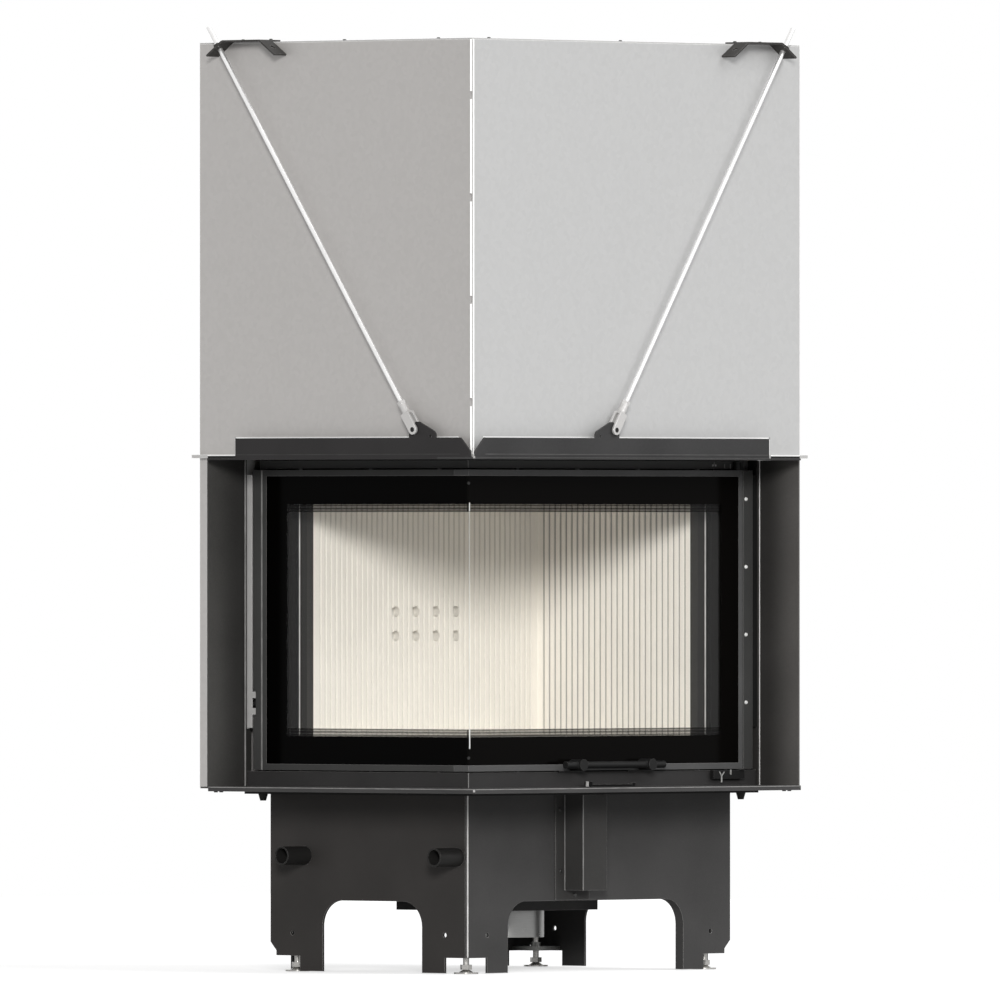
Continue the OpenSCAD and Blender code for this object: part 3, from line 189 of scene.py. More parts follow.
def edge_wear_and_highlight(web, base, shader, bright, width, relief=None):
    """Mixes a bright tone into the base colour along the edges, partly rubbed paint and partly painted
    highlight, and rounds the edges for the light.
    Sockets 6 and 7 are the mix node's colours."""
    soft = web.nodes.new("ShaderNodeBevel")
    soft.samples = 4
    soft.inputs["Radius"].default_value = width
    flat = web.nodes.new("ShaderNodeNewGeometry")
    agree = web.nodes.new("ShaderNodeVectorMath")
    agree.operation = "DOT_PRODUCT"
    web.links.new(soft.outputs[0], agree.inputs[0])
    web.links.new(flat.outputs["Normal"], agree.inputs[1])
    edge = web.nodes.new("ShaderNodeMapRange")
    edge.inputs["From Min"].default_value = 0.995
    edge.inputs["From Max"].default_value = 0.86
    web.links.new(agree.outputs["Value"], edge.inputs["Value"])
    mix = web.nodes.new("ShaderNodeMix")
    mix.data_type = "RGBA"
    mix.inputs[7].default_value = (*bright, 1)
    web.links.new(edge.outputs[0], mix.inputs[0])
    web.links.new(base, mix.inputs[6])
    web.links.new(mix.outputs[2], shader.inputs["Base Color"])
    if relief:
        web.links.new(soft.outputs[0], relief.inputs["Normal"])


def coat(name, colour, rough=0.55, tone=0.18, grain=0.00012, sheen=0.12, cloud=7.0, bright=0.14, width=0.0011,
         painted_shade=None):
    """Sprayed paint: colour with soft clouds of tone, fine grain in the bump, roughness that varies.
    painted_shade gives an axis, two places on it in metres and the colour's share at each: painted shade laid
    along that axis."""
    material, web, paint, place = new_finish(name)
    clouds = noise(web, place, cloud, 5).outputs["Fac"]
    specks = noise(web, place, 700).outputs["Fac"]
    colours = shades(web, mixed(web, clouds, specks, 0.4), colour, tone, 0.35, 0.65)
    vary_roughness(web, clouds, paint, max(0.05, rough - 0.08), min(1, rough + 0.1))
    relief = grained(web, specks, paint, 0.6, grain)
    paint.inputs["Specular IOR Level"].default_value = sheen
    if painted_shade:
        axis, here, there, share_here, share_there = painted_shade
        apart = web.nodes.new("ShaderNodeSeparateXYZ")
        run = web.nodes.new("ShaderNodeMapRange")
        run.interpolation_type = "SMOOTHSTEP"
        ends = {"From Min": here, "From Max": there, "To Min": share_here, "To Max": share_there}
        for label, value in ends.items():
            run.inputs[label].default_value = value
        shade = web.nodes.new("ShaderNodeVectorMath")
        shade.operation = "SCALE"
        web.links.new(place, apart.inputs[0])
        web.links.new(apart.outputs[axis], run.inputs["Value"])
        web.links.new(colours, shade.inputs[0])
        web.links.new(run.outputs[0], shade.inputs["Scale"])
        colours = shade.outputs[0]
    if bright:
        edge_wear_and_highlight(web, colours, paint, (bright, bright * 0.98, bright * 0.96), width, relief)
    else:
        web.links.new(colours, paint.inputs["Base Color"])
    return material


def dress(material, *names):
    """Puts a material on every slot of the named solids."""
    for name in names:
        for place in nodes[name].material_slots:
            place.material = material


dress(coat("base_black", (0.052, 0.051, 0.0505), bright=0.3), "base_front", "base_back", "air_box")
# The left plate gets a darker copy of the black: painted shade on the narrow side, away from the light.
dress(coat("base_black_left", (0.037, 0.0345, 0.033), bright=0.3), "base_left")
dress(coat("duct_black", (0.04, 0.039, 0.038), bright=0.3), "duct_cover")
# The carrying tubes' black is darker still: painted shade on their sides.
dress(coat("tube_black", (0.018, 0.0175, 0.017), rough=0.4, bright=0.1, width=0.0006), "carrying_tubes")


# Feet, corner plates, pulleys, shutter and spigot: turned and pressed steel with a bright zinc coat, which
# shows fine turning lines and small dull patches where it was handled. The duct cover's screws and the
# panes' corner clips are blackened.
def bare_metal(name, colour, rough=0.35, tone=0.12, metal=0.85, lines=(1, 1, 60), grain=0.00004, bright=0.0,
               width=0.0006):
    """Metal with fine lines: lines stretches the noise along the axes, a large number packs them."""
    material, web, steel, place = new_finish(name)
    stretch = web.nodes.new("ShaderNodeMapping")
    stretch.inputs["Scale"].default_value = lines
    web.links.new(place, stretch.inputs["Vector"])
    brushed = noise(web, stretch.outputs[0], 40, 4).outputs["Fac"]
    patches = noise(web, place, 25).outputs["Fac"]
    colours = shades(web, mixed(web, brushed, patches, 0.5), colour, tone, 0.3, 0.7)
    vary_roughness(web, patches, steel, max(0.05, rough - 0.1), min(1, rough + 0.12))
    relief = grained(web, brushed, steel, 0.5, grain)
    steel.inputs["Metallic"].default_value = metal
    if bright:
        edge_wear_and_highlight(web, colours, steel, (bright, bright, bright * 0.99), width, relief)
    else:
        web.links.new(colours, steel.inputs["Base Color"])
    return material


# The feet's and the spigot's edges are painted bright: painted highlight along them.
foot_zinc = bare_metal("foot_zinc", (0.5, 0.49, 0.47), rough=0.25, bright=0.85)
plate_zinc = bare_metal("plate_zinc", (0.3, 0.3, 0.29), rough=0.42)
dress(foot_zinc, "foot_front_left", "foot_front_right", "foot_rear_left", "foot_rear_right")
dress(plate_zinc, "foot_plates", "pulley_right", "pulley_rear", "air_shutter")
dress(bare_metal("spigot_zinc", (0.32, 0.32, 0.315), rough=0.3, bright=0.7), "air_spigot")
dress(bare_metal("screw_dark", (0.07, 0.07, 0.068), rough=0.35, bright=0.3), "cover_screws")
dress(coat("clip_black", (0.012, 0.012, 0.012), rough=0.4, bright=0), "corner_clips")


# Sill, apron and cheeks: 3 mm sheet folded on a brake, in the same black; the sill is painted a little paler
# on top as painted light.
# Each cheek's colour carries painted shade: palest at its outer edge and darker into the recess.
dress(coat("sill_black", (0.054, 0.053, 0.053), rough=0.5, bright=0.16, width=0.0008), "sill_plate")
dress(coat("apron_black", (0.034, 0.033, 0.033), rough=0.5, bright=0.22), "apron")
dress(coat("cheek_black_right", (0.048, 0.046, 0.044), rough=0.5, bright=0,
           painted_shade=(1, -0.292, -0.22, 2.1, 0.66)), "wing_right")
dress(coat("cheek_black_left", (0.046, 0.045, 0.043), rough=0.5, bright=0,
           painted_shade=(0, -0.39, -0.31, 1.5, 0.66)), "wing_left")


# Fittings round the door: the air lever and the door's handle are steel bars in smooth black paint.
# The buffers under the tray are moulded rubber, and the rollers in the guide rails are black plastic.
dress(coat("lever_black", (0.006, 0.006, 0.006), rough=0.5, sheen=0.05, bright=0.3, width=0.0006),
      "air_lever")
dress(coat("handle_black", (0.014, 0.014, 0.014), rough=0.35, bright=0.12, width=0.0006), "door_handle")
dress(coat("rubber", (0.03, 0.03, 0.028), rough=0.8, bright=0), "door_buffers")
dress(coat("roller_plastic", (0.012, 0.012, 0.012), rough=0.5, bright=0.05), "roller_right", "roller_rear")


# Casing: hot-dip galvanised sheet, folded; its folded edges are painted bright as painted highlight. Zinc
# crystals make flat patches of slightly different grey, and the surface is half matt. One guide rail is of
# such sheet, one is black.
def zinc_sheet(name, colour, rough=0.5, flake=140.0, tone=0.035, metal=0.2, bright=0.9, width=0.0012,
               gloss=0.5):
    """Galvanised sheet: flake packs the crystals, tone is how far their greys differ. A little noise, mixed
    into the coordinates on sockets 4 and 5, bends the crystals' edges."""
    material, web, sheet, place = new_finish(name)
    warp = web.nodes.new("ShaderNodeMix")
    warp.data_type = "VECTOR"
    warp.inputs[0].default_value = 0.012
    web.links.new(place, warp.inputs[4])
    web.links.new(noise(web, place, 55).outputs["Color"], warp.inputs[5])
    crystals = web.nodes.new("ShaderNodeTexVoronoi")
    crystals.inputs["Scale"].default_value = flake
    web.links.new(warp.outputs[1], crystals.inputs["Vector"])
    grey = web.nodes.new("ShaderNodeSeparateColor")
    web.links.new(crystals.outputs["Color"], grey.inputs[0])
    wide = noise(web, place, 2.2, 3).outputs["Fac"]
    colours = shades(web, mixed(web, grey.outputs[0], wide, 0.4), colour, tone)
    vary_roughness(web, grey.outputs[1], sheet, rough - 0.06, rough + 0.08)
    edge_wear_and_highlight(web, colours, sheet, (bright, bright, bright * 0.985), width)
    sheet.inputs["Metallic"].default_value = metal
    sheet.inputs["Specular IOR Level"].default_value = gloss
    return material


dress(zinc_sheet("casing_zinc", (0.515, 0.515, 0.513)), "casing_front", "casing_back")
# The top lies flat under the low light, and its weathered sheet is duller than the walls.
dress(zinc_sheet("roof_zinc", (0.45, 0.447, 0.442), rough=0.8, metal=0, gloss=0.04), "casing_top")
# The left-facing sheets get a darker copy of the zinc: painted shade on the narrow side.
dress(zinc_sheet("casing_zinc_left", (0.475, 0.461, 0.45)), "casing_left", "lower_cover")
dress(zinc_sheet("flange_zinc", (0.5, 0.495, 0.487), rough=0.4, metal=0.3), "casing_flange")
dress(zinc_sheet("rail_zinc", (0.5, 0.495, 0.485), flake=90), "guide_rail_rear")
dress(coat("rail_black", (0.012, 0.012, 0.012), bright=0.08), "guide_rail_right")


# Standing seam at the glass corner: the two casing sheets are folded outwards and locked by tabs.
# The folds' rounded lips are painted near white as painted highlight; the left one is cut out at each tab.
corner_x, corner_y = (round(1000 * v, 2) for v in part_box("casing_top")[0][:2])


def at(x, y, z):
    """From millimetres, counted from the casing's glass corner and the floor, to the frame."""
    return Vector(((x + corner_x) / 1000, (y + corner_y) / 1000, z / 1000))


def reach(node):
    """A solid's lowest and highest corner in the same millimetres."""
    zero = (corner_x, corner_y, 0)
    return [[round(1000 * v - start, 2) for v, start in zip(end, zero)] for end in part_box(node)]


def strip(name, body, loops, material):
    """A closed skin over rings of points in millimetres, one ring after the other, with the ends capped."""
    mesh = bpy.data.meshes.new(name)
    web = bmesh.new()
    rings = [[web.verts.new(at(*point)) for point in loop] for loop in loops]
    count = len(rings[0])
    for one, two in zip(rings, rings[1:]):
        for i in range(count):
            web.faces.new((one[i], one[(i + 1) % count], two[(i + 1) % count], two[i]))
    web.faces.new(rings[0])
    web.faces.new(rings[-1])
    bmesh.ops.recalc_face_normals(web, faces=web.faces[:])
    web.to_mesh(mesh)
    web.free()
    piece = bpy.data.objects.new(name, mesh)
    bpy.context.collection.objects.link(piece)
    piece.data.materials.append(material)
    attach(piece, body)
    return piece


def joined(name, body, parts):
    """Several strips as one piece."""
    bpy.ops.object.select_all(action="DESELECT")
    for part in parts:
        part.select_set(True)
    bpy.context.view_layer.objects.active = parts[0]
    bpy.ops.object.join()
    parts[0].name = name
    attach(parts[0], body)


lip_highlight = zinc_sheet("lip_highlight", (0.95, 0.95, 0.94), rough=0.4, metal=0.3, tone=0.02)


def lip(name, side, low, high, out=5.6):
    """A rounded lip on the end of one fold; side holds its two distances from the corner's diagonal."""
    middle, tip, inset, shoulder = (side[0] + side[1]) / 2, 1, 0.3, 0.7
    outline = [(out, side[0]), (out + shoulder, side[0] + inset), (out + tip, middle),
               (out + shoulder, side[1] - inset), (out, side[1])]
    k = math.sqrt(0.5)
    ring = [(-k * far + k * across, -k * far - k * across) for far, across in outline]
    return strip(name, "insert", [[(x, y, z) for x, y in ring] for z in (low, high)], lip_highlight)


flange_low, flange_high = reach("casing_flange")
roof_low, roof_high = reach("casing_top")
seam_low, seam_high = flange_high[2], roof_low[2] - 0.5
first_tab, tab_pitch, tab_half = 93, 165.6, 6.5
tabs = [roof_high[2] - first_tab - tab_pitch * i for i in range(4)]
ends = [seam_high] + [z for tab in tabs for z in (tab + tab_half, tab - tab_half)] + [seam_low]
lip("seam_lip_front", (0.3, 3.2), seam_low, seam_high)
joined("seam_lip_left", "insert", [lip(f"seam_lip_left_{i}", (-4.0, -0.9), ends[2 * i + 1], ends[2 * i])
                                   for i in range(len(tabs) + 1)])
# Below, both lips run out over the foot flange.
tail_low, tail_out = 841.6, 13.0
joined("seam_ends", "insert", [lip("seam_end_front", (1.1, 3.6), tail_low, seam_low, tail_out),
                               lip("seam_end_left", (-4.2, -1.5), tail_low, seam_low, tail_out)])


# Hems: where the lintel irons pass in front, the casing sheet's edge is turned out in a narrow hem, painted
# bright as painted highlight, which goes round the iron's end and on along the top of the foot flange.
def bar(name, body, x, y, z, material):
    """A flat strip of sheet between two planes on each axis, its outer edges broken a little."""
    broken = 0.2
    x_in, y_in = ([v + broken * s for v, s in zip(span, (1, -1))] for span in (x, y))
    ring = [(x_in[0], y[0]), (x_in[1], y[0]), (x[1], y_in[0]), (x[1], y_in[1]),
            (x_in[1], y[1]), (x_in[0], y[1]), (x[0], y_in[1]), (x[0], y_in[0])]
    return strip(name, body, [[(a, b, level) for a, b in ring] for level in z], material)


hem_out, hem_level, hem_drop = (-0.7, 0), (871.9, 874), (flange_high[2], 874)
lip_out, lip_level = (flange_low[0] - 0.6, flange_low[0]), (843.4, flange_high[2])
beyond_left, beyond_front = (512.5, 575.5), (717.8, 789.3)
joined("hem_left", "insert", [
    bar("hem_left_top", "insert", hem_out, (30, 523), hem_level, lip_highlight),
    bar("hem_left_end", "insert", hem_out, (520.8, 523.4), hem_drop, lip_highlight),
    bar("hem_left_low", "insert", lip_out, beyond_left, lip_level, lip_highlight)])
joined("hem_front", "insert", [
    bar("hem_front_top", "insert", (26, 725.4), hem_out, hem_level, lip_highlight),
    bar("hem_front_end", "insert", (722.8, 725.4), hem_out, hem_drop, lip_highlight),
    bar("hem_front_low", "insert", beyond_front, lip_out, lip_level, lip_highlight)])
# Under the flange's lip a dark strip lies in the joint: painted shade.
seam_shade = coat("seam_shade", (0.02, 0.02, 0.02), bright=0)
gap_out, gap_level = (flange_low[0] - 0.4, flange_low[0]), (flange_low[2] + 0.1, lip_level[0])
joined("flange_gap", "insert", [
    bar("flange_gap_left", "insert", gap_out, beyond_left, gap_level, seam_shade),
    bar("flange_gap_front", "insert", beyond_front, gap_out, gap_level, seam_shade)])


# Bent edges: on the base, duct cover, apron, sill and cheeks fine pale strips run along the sharp bends:
# painted highlights where the rounded folds catch the light, dimmer on the narrow side.
def wear_and_highlight(name, tone):
    """A mottled grey, a little warm: paint rubbed down to the steel, and on bends a painted highlight."""
    return coat(name, (tone, tone * 0.985, tone * 0.97), rough=0.45, tone=0.25, cloud=40, bright=0)


def corner(name, x, y, z, wide, material, body="insert"):
    """A rounded bend on an upright corner that points at the glass corner, wide on each side of it."""
    proud = 0.25
    ring = [(x + wide, y - proud), (x - proud * 0.3, y - proud), (x - proud, y - proud * 0.3),
            (x - proud, y + wide), (x, y + wide), (x, y), (x + wide, y)]
    strip(name, body, [[(a, b, level) for a, b in ring] for level in z], material)


# The strips stand a skin proud of the sheet, in millimetres, and those on the base end just under the sill.
skin = 0.3
under_sill = 290
base_x, base_y = reach("base_front")[0][:2]
bar("base_bend", "insert", (base_x - 0.2, base_x + 3.4), (base_y - skin, base_y), (27, under_sill),
    wear_and_highlight("base_bend", 0.6))
# The duct cover is a box 23 mm in from its flange's side and 16 mm up from its foot.
duct_x, duct_y, duct_z = reach("duct_cover")[0]
duct_side, duct_face, duct_level = duct_x + 23, base_y - 2, (duct_z + 16, under_sill)
bar("duct_bend", "insert", (duct_side, duct_side + 2.2), (duct_y - skin, duct_y), duct_level,
    wear_and_highlight("duct_bend", 0.2))
bar("duct_fold", "insert", (duct_side - 1.8, duct_side), (duct_face - 0.8, duct_face), duct_level,
    wear_and_highlight("duct_fold", 0.22))
bar("duct_edge", "insert", (duct_x - 0.1, duct_x + 0.7), (duct_face - 0.4, duct_face), (duct_z, under_sill),
    wear_and_highlight("duct_edge", 0.085))
apron_low, apron_high = reach("apron")
corner("apron_bend", apron_low[0], apron_low[1], (apron_low[2], apron_high[2]), 0.9, wear_and_highlight("apron_bend", 0.22))
sill_edge = wear_and_highlight("sill_edge", 0.24)
sill_low, sill_high = reach("sill_plate")
sill_level = (sill_high[2] - 1.4, sill_high[2])
sill_run_front, sill_run_left = (sill_low[0] + 0.5, sill_high[0] - 23), (sill_low[1] + 0.5, sill_high[1] - 18)
sill_out_front, sill_out_left = (sill_low[1] - skin, sill_low[1]), (sill_low[0] - skin, sill_low[0])
joined("sill_edge", "insert", [
    bar("sill_edge_front", "insert", sill_run_front, sill_out_front, sill_level, sill_edge),
    bar("sill_edge_left", "insert", sill_out_left, sill_run_left, sill_level, sill_edge)])
cheek_low, cheek_high = reach("wing_right")
cheek_end, cheek_level = 86, (cheek_low[2] + 0.2, cheek_high[2] - 0.2)
joined("cheek_bend", "insert", [
    bar("cheek_bend_right", "insert", (796.4, 797), (cheek_end - 1.8, cheek_end), cheek_level,
        wear_and_highlight("cheek_bend_right", 0.8)),
    bar("cheek_bend_left", "insert", (cheek_end - 0.5, cheek_end), (579, 582), cheek_level,
        wear_and_highlight("cheek_bend_left", 0.26))])
pane_corner, beam_corner = reach("front_glass")[0][0], 98
bar("post_bend", "door", (pane_corner - 0.5, pane_corner), (543.9, 546.7), (330, 820),
    wear_and_highlight("post_bend", 0.22))
corner("beam_bend", beam_corner, beam_corner, (823.2, 835.8), 0.8, wear_and_highlight("beam_bend", 0.16), "door")


# Firebox: a box of welded stove plate painted black, lined with ribbed fireclay slabs that are cast in a
# mould and stood in it. A baffle of pressed vermiculite lies over the fire.
def fireclay(name, colour, tone=0.03, painted_shade=None):
    """Cast slab: dead matt, with a coarse grain."""
    return coat(name, colour, rough=0.85, tone=tone, grain=0.0004, sheen=0.2, cloud=12, bright=0, painted_shade=painted_shade)


dress(coat("stove_black", (0.017, 0.0165, 0.016), rough=0.6, bright=0),
      "firebox_body", "smoke_dome", "flue_collar")
wall_clay, floor_clay = (0.955, 0.925, 0.868), (0.66, 0.635, 0.59)
# Deep in the ribs' grooves the clay is painted darker: painted shade in the grooves, strongest on the right
# wall.
dress(fireclay("fireclay_back", wall_clay, painted_shade=(1, 0.1975, 0.2, 1.0, 0.8)), "lining_back")
dress(fireclay("fireclay_right", wall_clay, painted_shade=(0, 0.3092, 0.311, 1.0, 0.42)), "lining_right")
dress(fireclay("fireclay_floor", floor_clay, tone=0.05), "lining_floor")
dress(coat("vermiculite", (0.62, 0.54, 0.42), rough=0.9, tone=0.12, grain=0.0008, sheen=0.15, cloud=60,
           bright=0), "baffle_plate")


# Trims beside the lining: folded steel strips in black that cover its edges and end in a bright ridge.
# A flat black rope packs the gap beside them, behind the door's seal.
dress(coat("trim_black", (0.038, 0.037, 0.036), rough=0.5, bright=0), "wall_trims")
trim_low, trim_high = reach("wall_trims")
trim_level = (trim_low[2] + 1, trim_high[2] - 1)
ridge = wear_and_highlight("ridge", 0.75)
ridge_out = (trim_low[0] - 1.6, trim_low[0] - 0.1)
joined("trim_ridges", "insert", [
    bar("trim_ridge_right", "insert", (715.6, 717.4), ridge_out, trim_level, ridge),
    bar("trim_ridge_left", "insert", ridge_out, (502.4, 504.2), trim_level, ridge)])
packing = coat("packing", (0.016, 0.016, 0.016), rough=0.9, bright=0)
packing_out = (trim_low[0] - 2.8, trim_low[0] - 0.1)
joined("gap_packing", "insert", [
    bar("gap_packing_right", "insert", (717.6, 731.6), packing_out, trim_level, packing),
    bar("gap_packing_left", "insert", packing_out, (504.8, 521.6), trim_level, packing)])


# Door: folded steel frames and beams in satin black, with a rope seal of glass yarn. It hangs on two cables
# of stranded steel, which run over pulleys to counterweights of plain steel.
dress(coat("door_black", (0.048, 0.048, 0.047), rough=0.45, bright=0.2), "door_carriage")
dress(coat("frame_black", (0.085, 0.085, 0.085), rough=0.45, bright=0.25), "front_frame")
dress(coat("hinge_black", (0.012, 0.012, 0.012), rough=0.45, bright=0.08), "door_hinges")
dress(coat("rope_seal", (0.22, 0.21, 0.2), rough=0.9, tone=0.3, grain=0.0006, cloud=200, bright=0),
      "door_seals")
cable_steel = bare_metal("cable_steel", (0.45, 0.45, 0.44), rough=0.4, lines=(1, 1, 1))
dress(cable_steel, "door_cables", "weight_cables", "cable_turns")
dress(bare_metal("mill_steel", (0.2, 0.19, 0.185), rough=0.55, tone=0.2),
      "counterweight_right", "counterweight_rear")
screw_zinc = bare_metal("screw_zinc", (0.9, 0.9, 0.88), rough=0.4, metal=0.2)
dress(screw_zinc, "door_screws")
# The screws down the right post, beyond post_side in metres, are bright; the others are blackened.
post_side = 0.33
web = screw_zinc.node_tree
steel = web.nodes["Principled BSDF"]
spread = web.nodes.new("ShaderNodeSeparateXYZ")
web.links.new(web.nodes["Texture Coordinate"].outputs["Object"], spread.inputs[0])
on_post = web.nodes.new("ShaderNodeMath")
on_post.operation = "GREATER_THAN"
on_post.inputs[1].default_value = post_side
web.links.new(spread.outputs[0], on_post.inputs[0])
tones = web.nodes.new("ShaderNodeMix")
tones.data_type = "RGBA"
tones.inputs[6].default_value = (0.07, 0.07, 0.07, 1)
web.links.new(on_post.outputs[0], tones.inputs[0])
web.links.new(steel.inputs["Base Color"].links[0].from_socket, tones.inputs[7])
web.links.new(tones.outputs[2], steel.inputs["Base Color"])


# Panes: 4 mm clear glass ceramic. A black enamel border is printed on the inside face; along the top and
# bottom it thins out in a band of fine printed lines.
def pane(name, solid, far, bottom, top, enamel_shade=1.0):
    """far, bottom and top are the printed border's widths in metres; enamel_shade scales its enamel's colour,
    below 1 as painted shade.
    """
    low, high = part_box(solid)
    along = 0 if high[0] - low[0] > high[1] - low[1] else 1
    lined = 0.0127
    material = bpy.data.materials.new(name)
    material.use_nodes = True
    web = material.node_tree
    web.nodes.clear()
    place = web.nodes.new("ShaderNodeTexCoord")
    part = web.nodes.new("ShaderNodeSeparateXYZ")
    web.links.new(place.outputs["Object"], part.inputs[0])

    def math_node(kind, one, two):
        node = web.nodes.new("ShaderNodeMath")
        node.operation = kind
        for i, value in enumerate((one, two)):
            if isinstance(value, (int, float)):
                node.inputs[i].default_value = value
            else:
                web.links.new(value, node.inputs[i])
        return node.outputs[0]

    flat, tall = part.outputs[along], part.outputs[2]
    over = math_node("SUBTRACT", high[2] - top, tall)
    under = math_node("SUBTRACT", tall, low[2] + bottom)
    beside = math_node("SUBTRACT", high[along] - far, flat)
    between = math_node("MINIMUM", over, under)
    clear = math_node("GREATER_THAN", math_node("MINIMUM", beside, between), 0)
    near = math_node("LESS_THAN", between, lined)
    lines = web.nodes.new("ShaderNodeTexWave")
    lines.wave_type, lines.bands_direction = "BANDS", "Z"
    lines.inputs["Scale"].default_value = 62
    lines.inputs["Distortion"].default_value = 0.4
    web.links.new(place.outputs["Object"], lines.inputs["Vector"])
    line_share = math_node("ADD", 0.36, math_node("MULTIPLY", lines.outputs["Fac"], 0.26))
    print_share = math_node("MULTIPLY", near, line_share)
    see = web.nodes.new("ShaderNodeBsdfTransparent")
    see.inputs["Color"].default_value = (0.992, 0.99, 0.982, 1)
    shine = web.nodes.new("ShaderNodeBsdfGlossy")
    shine.inputs["Roughness"].default_value = 0.02
    bend = web.nodes.new("ShaderNodeFresnel")
    bend.inputs["IOR"].default_value = 1.3
    turned = web.nodes.new("ShaderNodeNewGeometry")
    front = math_node("SUBTRACT", 1, turned.outputs["Backfacing"])
    gleam = math_node("MULTIPLY", bend.outputs[0], front)
    glass = web.nodes.new("ShaderNodeMixShader")
    web.links.new(gleam, glass.inputs[0])
    web.links.new(see.outputs[0], glass.inputs[1])
    web.links.new(shine.outputs[0], glass.inputs[2])
    enamel = web.nodes.new("ShaderNodeBsdfPrincipled")
    enamel.inputs["Base Color"].default_value = (0.0025 * enamel_shade, 0.0022 * enamel_shade, 0.002 * enamel_shade, 1)
    enamel.inputs["Roughness"].default_value = 0.12
    enamel.inputs["Specular IOR Level"].default_value = 0.02
    bare = math_node("SUBTRACT", clear, math_node("MULTIPLY", print_share, clear))
    face = web.nodes.new("ShaderNodeMixShader")
    end = web.nodes.new("ShaderNodeOutputMaterial")
    web.links.new(bare, face.inputs[0])
    web.links.new(enamel.outputs[0], face.inputs[1])
    web.links.new(glass.outputs[0], face.inputs[2])
    web.links.new(face.outputs[0], end.inputs["Surface"])
    dress(material, solid)


pane("front_pane", "front_glass", far=0.042, bottom=0.0455, top=0.0458)
# The side pane's enamel is painted darker: painted shade on the narrow side.
pane("side_pane", "side_glass", far=0.0455, bottom=0.0455, top=0.0458, enamel_shade=0.3)


# Glass joint: at the free corner the panes' two ground edges meet, with a small clip at each end.
# They are frosted, so the joint shows as a pale line.
joint_glass, web, frost, place = new_finish("joint_glass")
ground = noise(web, place, 300).outputs["Fac"]
tint = web.nodes.new("ShaderNodeValToRGB")
tint.color_ramp.elements[0].color = (0.62, 0.64, 0.62, 1)
tint.color_ramp.elements[1].color = (0.93, 0.94, 0.92, 1)
web.links.new(ground, tint.inputs[0])
web.links.new(tint.outputs[0], frost.inputs["Base Color"])
frost.inputs["Roughness"].default_value = 0.3


def edge_line(name, low, high, wide):
    """A stretch of the joint on the front pane's face; wide is its width as a share of 2.4 mm."""
    near = pane_corner + 1.2
    far = near + 2.4 * wide
    outer, inner = pane_corner - 0.05, pane_corner + 0.1
    ring = [(far, outer), (near, outer), (near, inner), (far, inner)]
    strip(name, "door", [[(x, y, z) for x, y in ring] for z in (low, high)], joint_glass)


edge_line("joint_top", 753, 767, 0.9)
edge_line("joint_middle", 398, 753, 0.35)
edge_line("joint_bottom", 367, 398, 1.1)


# Lintel irons, rod brackets and nuts: 3 mm steel in matt black, with painted highlights on the folds and bare
# cut ends.
# The tie rods between the irons' ears and the brackets, and their forks, are bright white zinc.
dress(coat("iron_black", (0.043, 0.0425, 0.043), rough=0.5, bright=0.12), "lintel_front")
# The left iron gets a darker copy of the black: painted shade on the narrow side.
dress(coat("iron_black_left", (0.029, 0.0275, 0.028), rough=0.5, bright=0.08), "lintel_left")
iron_face = reach("lintel_left")[0][0]
fold_out, fold_level = (iron_face - skin, iron_face), (844.4, 845.9)
# The fold strips are painted highlights, dimmer on the left iron as painted shade.
bar("iron_fold_front", "insert", (12, 704), fold_out, fold_level, wear_and_highlight("iron_fold_front", 0.085))
bar("iron_fold_left", "insert", fold_out, (12, 506), fold_level, wear_and_highlight("iron_fold_left", 0.045))
cut_end = wear_and_highlight("cut_end", 0.5)
cut_out, cut_wide = (iron_face - 0.4, iron_face), (-22.2, -17.8)
joined("cut_ends", "insert", [bar("cut_end_iron", "insert", cut_out, cut_wide, (838.4, 842), cut_end),
                              bar("cut_end_sill", "insert", cut_out, cut_wide, (298, 302), cut_end)])
dress(coat("bracket_black", (0.03, 0.0285, 0.027), rough=0.5, bright=0.12), "rod_nuts")
dress(coat("strap_black", (0.045, 0.043, 0.041), rough=0.5, bright=0.2), "rod_brackets")
dress(bare_metal("rod_zinc", (0.86, 0.855, 0.85), rough=0.25, tone=0.08, metal=0.7), "tie_rods")
dress(bare_metal("fork_zinc", (0.56, 0.55, 0.54), rough=0.4, tone=0.05, metal=0.3, bright=0.95, width=0.0012),
      "rod_forks")


# Clevis pins: turned steel pins that hold the forks to the irons' ears. Each pin's end sits a little back in
# its bore; a flat dark ring round a pale face is painted shade in the bore's gap.
fork_face = reach("rod_forks")[0][0]
pin_level = 885


def pin_ring(name, along_x, place):
    """A flat dark ring on the fork's face, with slanted rims; place is its distance from the corner."""
    count, rings = 24, []
    for radius, off in ((4.2, 0.0), (3.9, 0.35), (2.5, 0.35), (2.2, 0.05)):
        loop = []
        for i in range(count):
            a = math.tau * i / count
            across, level = place + radius * math.cos(a), pin_level + radius * math.sin(a)
            loop.append((across, fork_face - off, level) if along_x else (fork_face - off, across, level))
        rings.append(loop)
    strip(name, "insert", rings, seam_shade)


pin_ring("pin_ring_front", True, 324)
pin_ring("pin_ring_left", False, 110)


# Hinge of the front frame for cleaning: its block sits under the rail's right end, with a bright forked
# spring clip on the face and the end of the hinge pin beside it.
clip_steel = bare_metal("clip_steel", (0.6, 0.6, 0.58), rough=0.35)


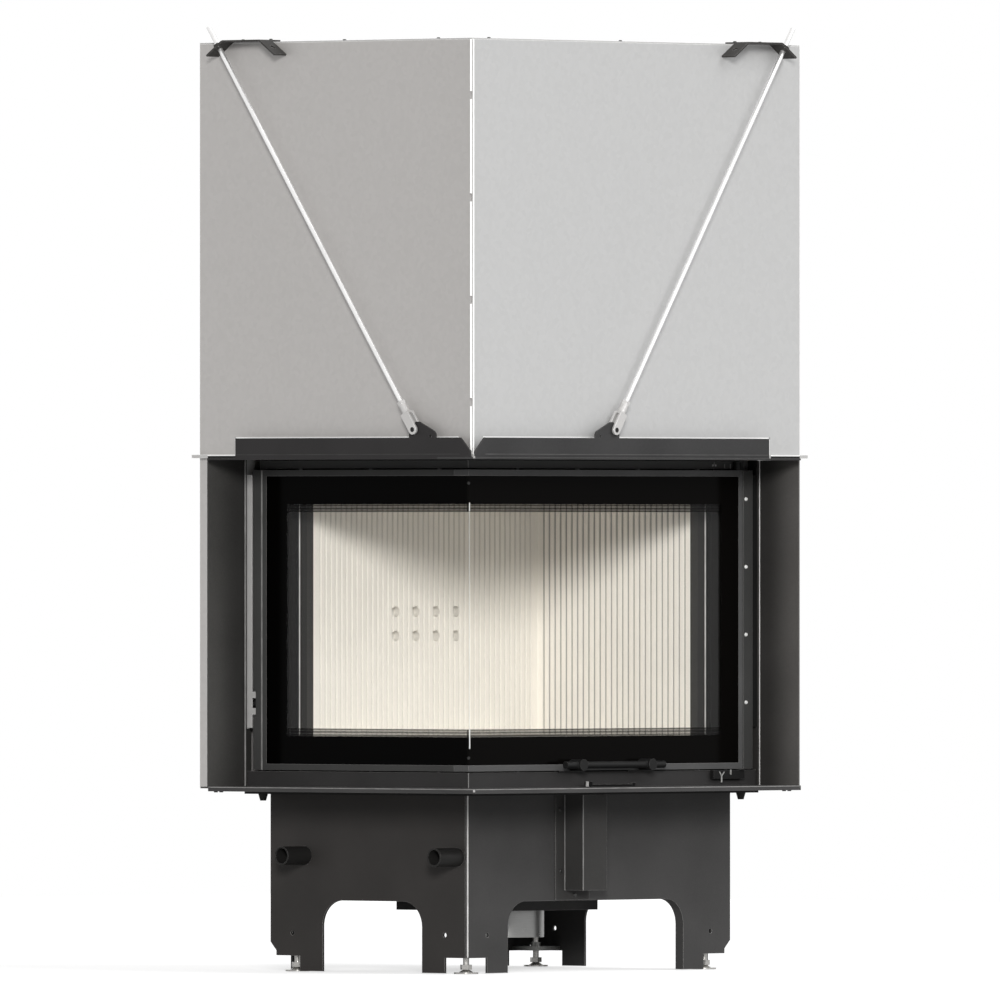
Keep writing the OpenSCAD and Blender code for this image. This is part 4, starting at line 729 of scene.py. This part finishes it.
def leaf(name, x0, x1, z0, z1, wide, face, material):
    """A flat bar of sheet from one point to another on a face of the door that looks forwards."""
    half, slant, thick = wide / 2, 0.3, 0.9
    rings = [[(x - half, face, z), (x + half, face, z), (x + half - slant, face - thick, z),
              (x - half + slant, face - thick, z)] for x, z in ((x0, z0), (x1, z1))]
    return strip(name, "door", rings, material)


hinge_face = 82
joined("hinge_clip", "door", [
    leaf("hinge_clip_stem", 698.8, 698.8, 308, 319, 3.0, hinge_face, clip_steel),
    leaf("hinge_clip_left", 698.4, 693.5, 318.4, 325.6, 2.6, hinge_face, clip_steel),
    leaf("hinge_clip_right", 699.2, 705.5, 318.4, 325.6, 2.6, hinge_face, clip_steel),
    leaf("hinge_pin_end", 721.5, 721.5, 320.6, 328.6, 2.6, hinge_face, clip_steel)])


# Upper hinge's catch: a small forked piece of bare steel that shows on the top beam, near its right end.
# Its stem is duller than its two tips.
top_steel, top_dim = wear_and_highlight("top_steel", 0.42), wear_and_highlight("top_dim", 0.2)
joined("top_catch", "door", [
    leaf("top_catch_stem", 698.2, 698.2, 829, 835.6, 1.6, beam_corner, top_dim),
    leaf("top_catch_left", 695.2, 695.2, 827.2, 830.2, 3.4, beam_corner, top_steel),
    leaf("top_catch_right", 702.0, 702.0, 827.2, 830.2, 3.4, beam_corner, top_steel)])


# Air lever's knob: turned steel under the same black coat as the lever. On its left side a pale strip
# is painted on: a painted highlight.
knob_x, knob_y, knob_level = 368, 78, (303.8, 312)
knob_ring = [(knob_x + radius * math.cos(math.radians(a)), knob_y + radius * math.sin(math.radians(a)))
             for radius, turn in ((6.4, 1), (6.65, -1)) for a in range(180, 226, 9)[::turn]]
strip("knob_side", "lever", [[(x, y, z) for x, y in knob_ring] for z in knob_level], wear_and_highlight("knob_side", 0.36))


# Slots in the top beam: three short ones, punched through the sheet between the catch and the beam's end.
# Their bare edges show as fine grey lines.
joined("top_slots", "door", [leaf(f"top_slot_{x}", x, x, 823.6, 831.4, 2.0, beam_corner, top_dim)
                             for x in (724, 738.7, 752.2)])
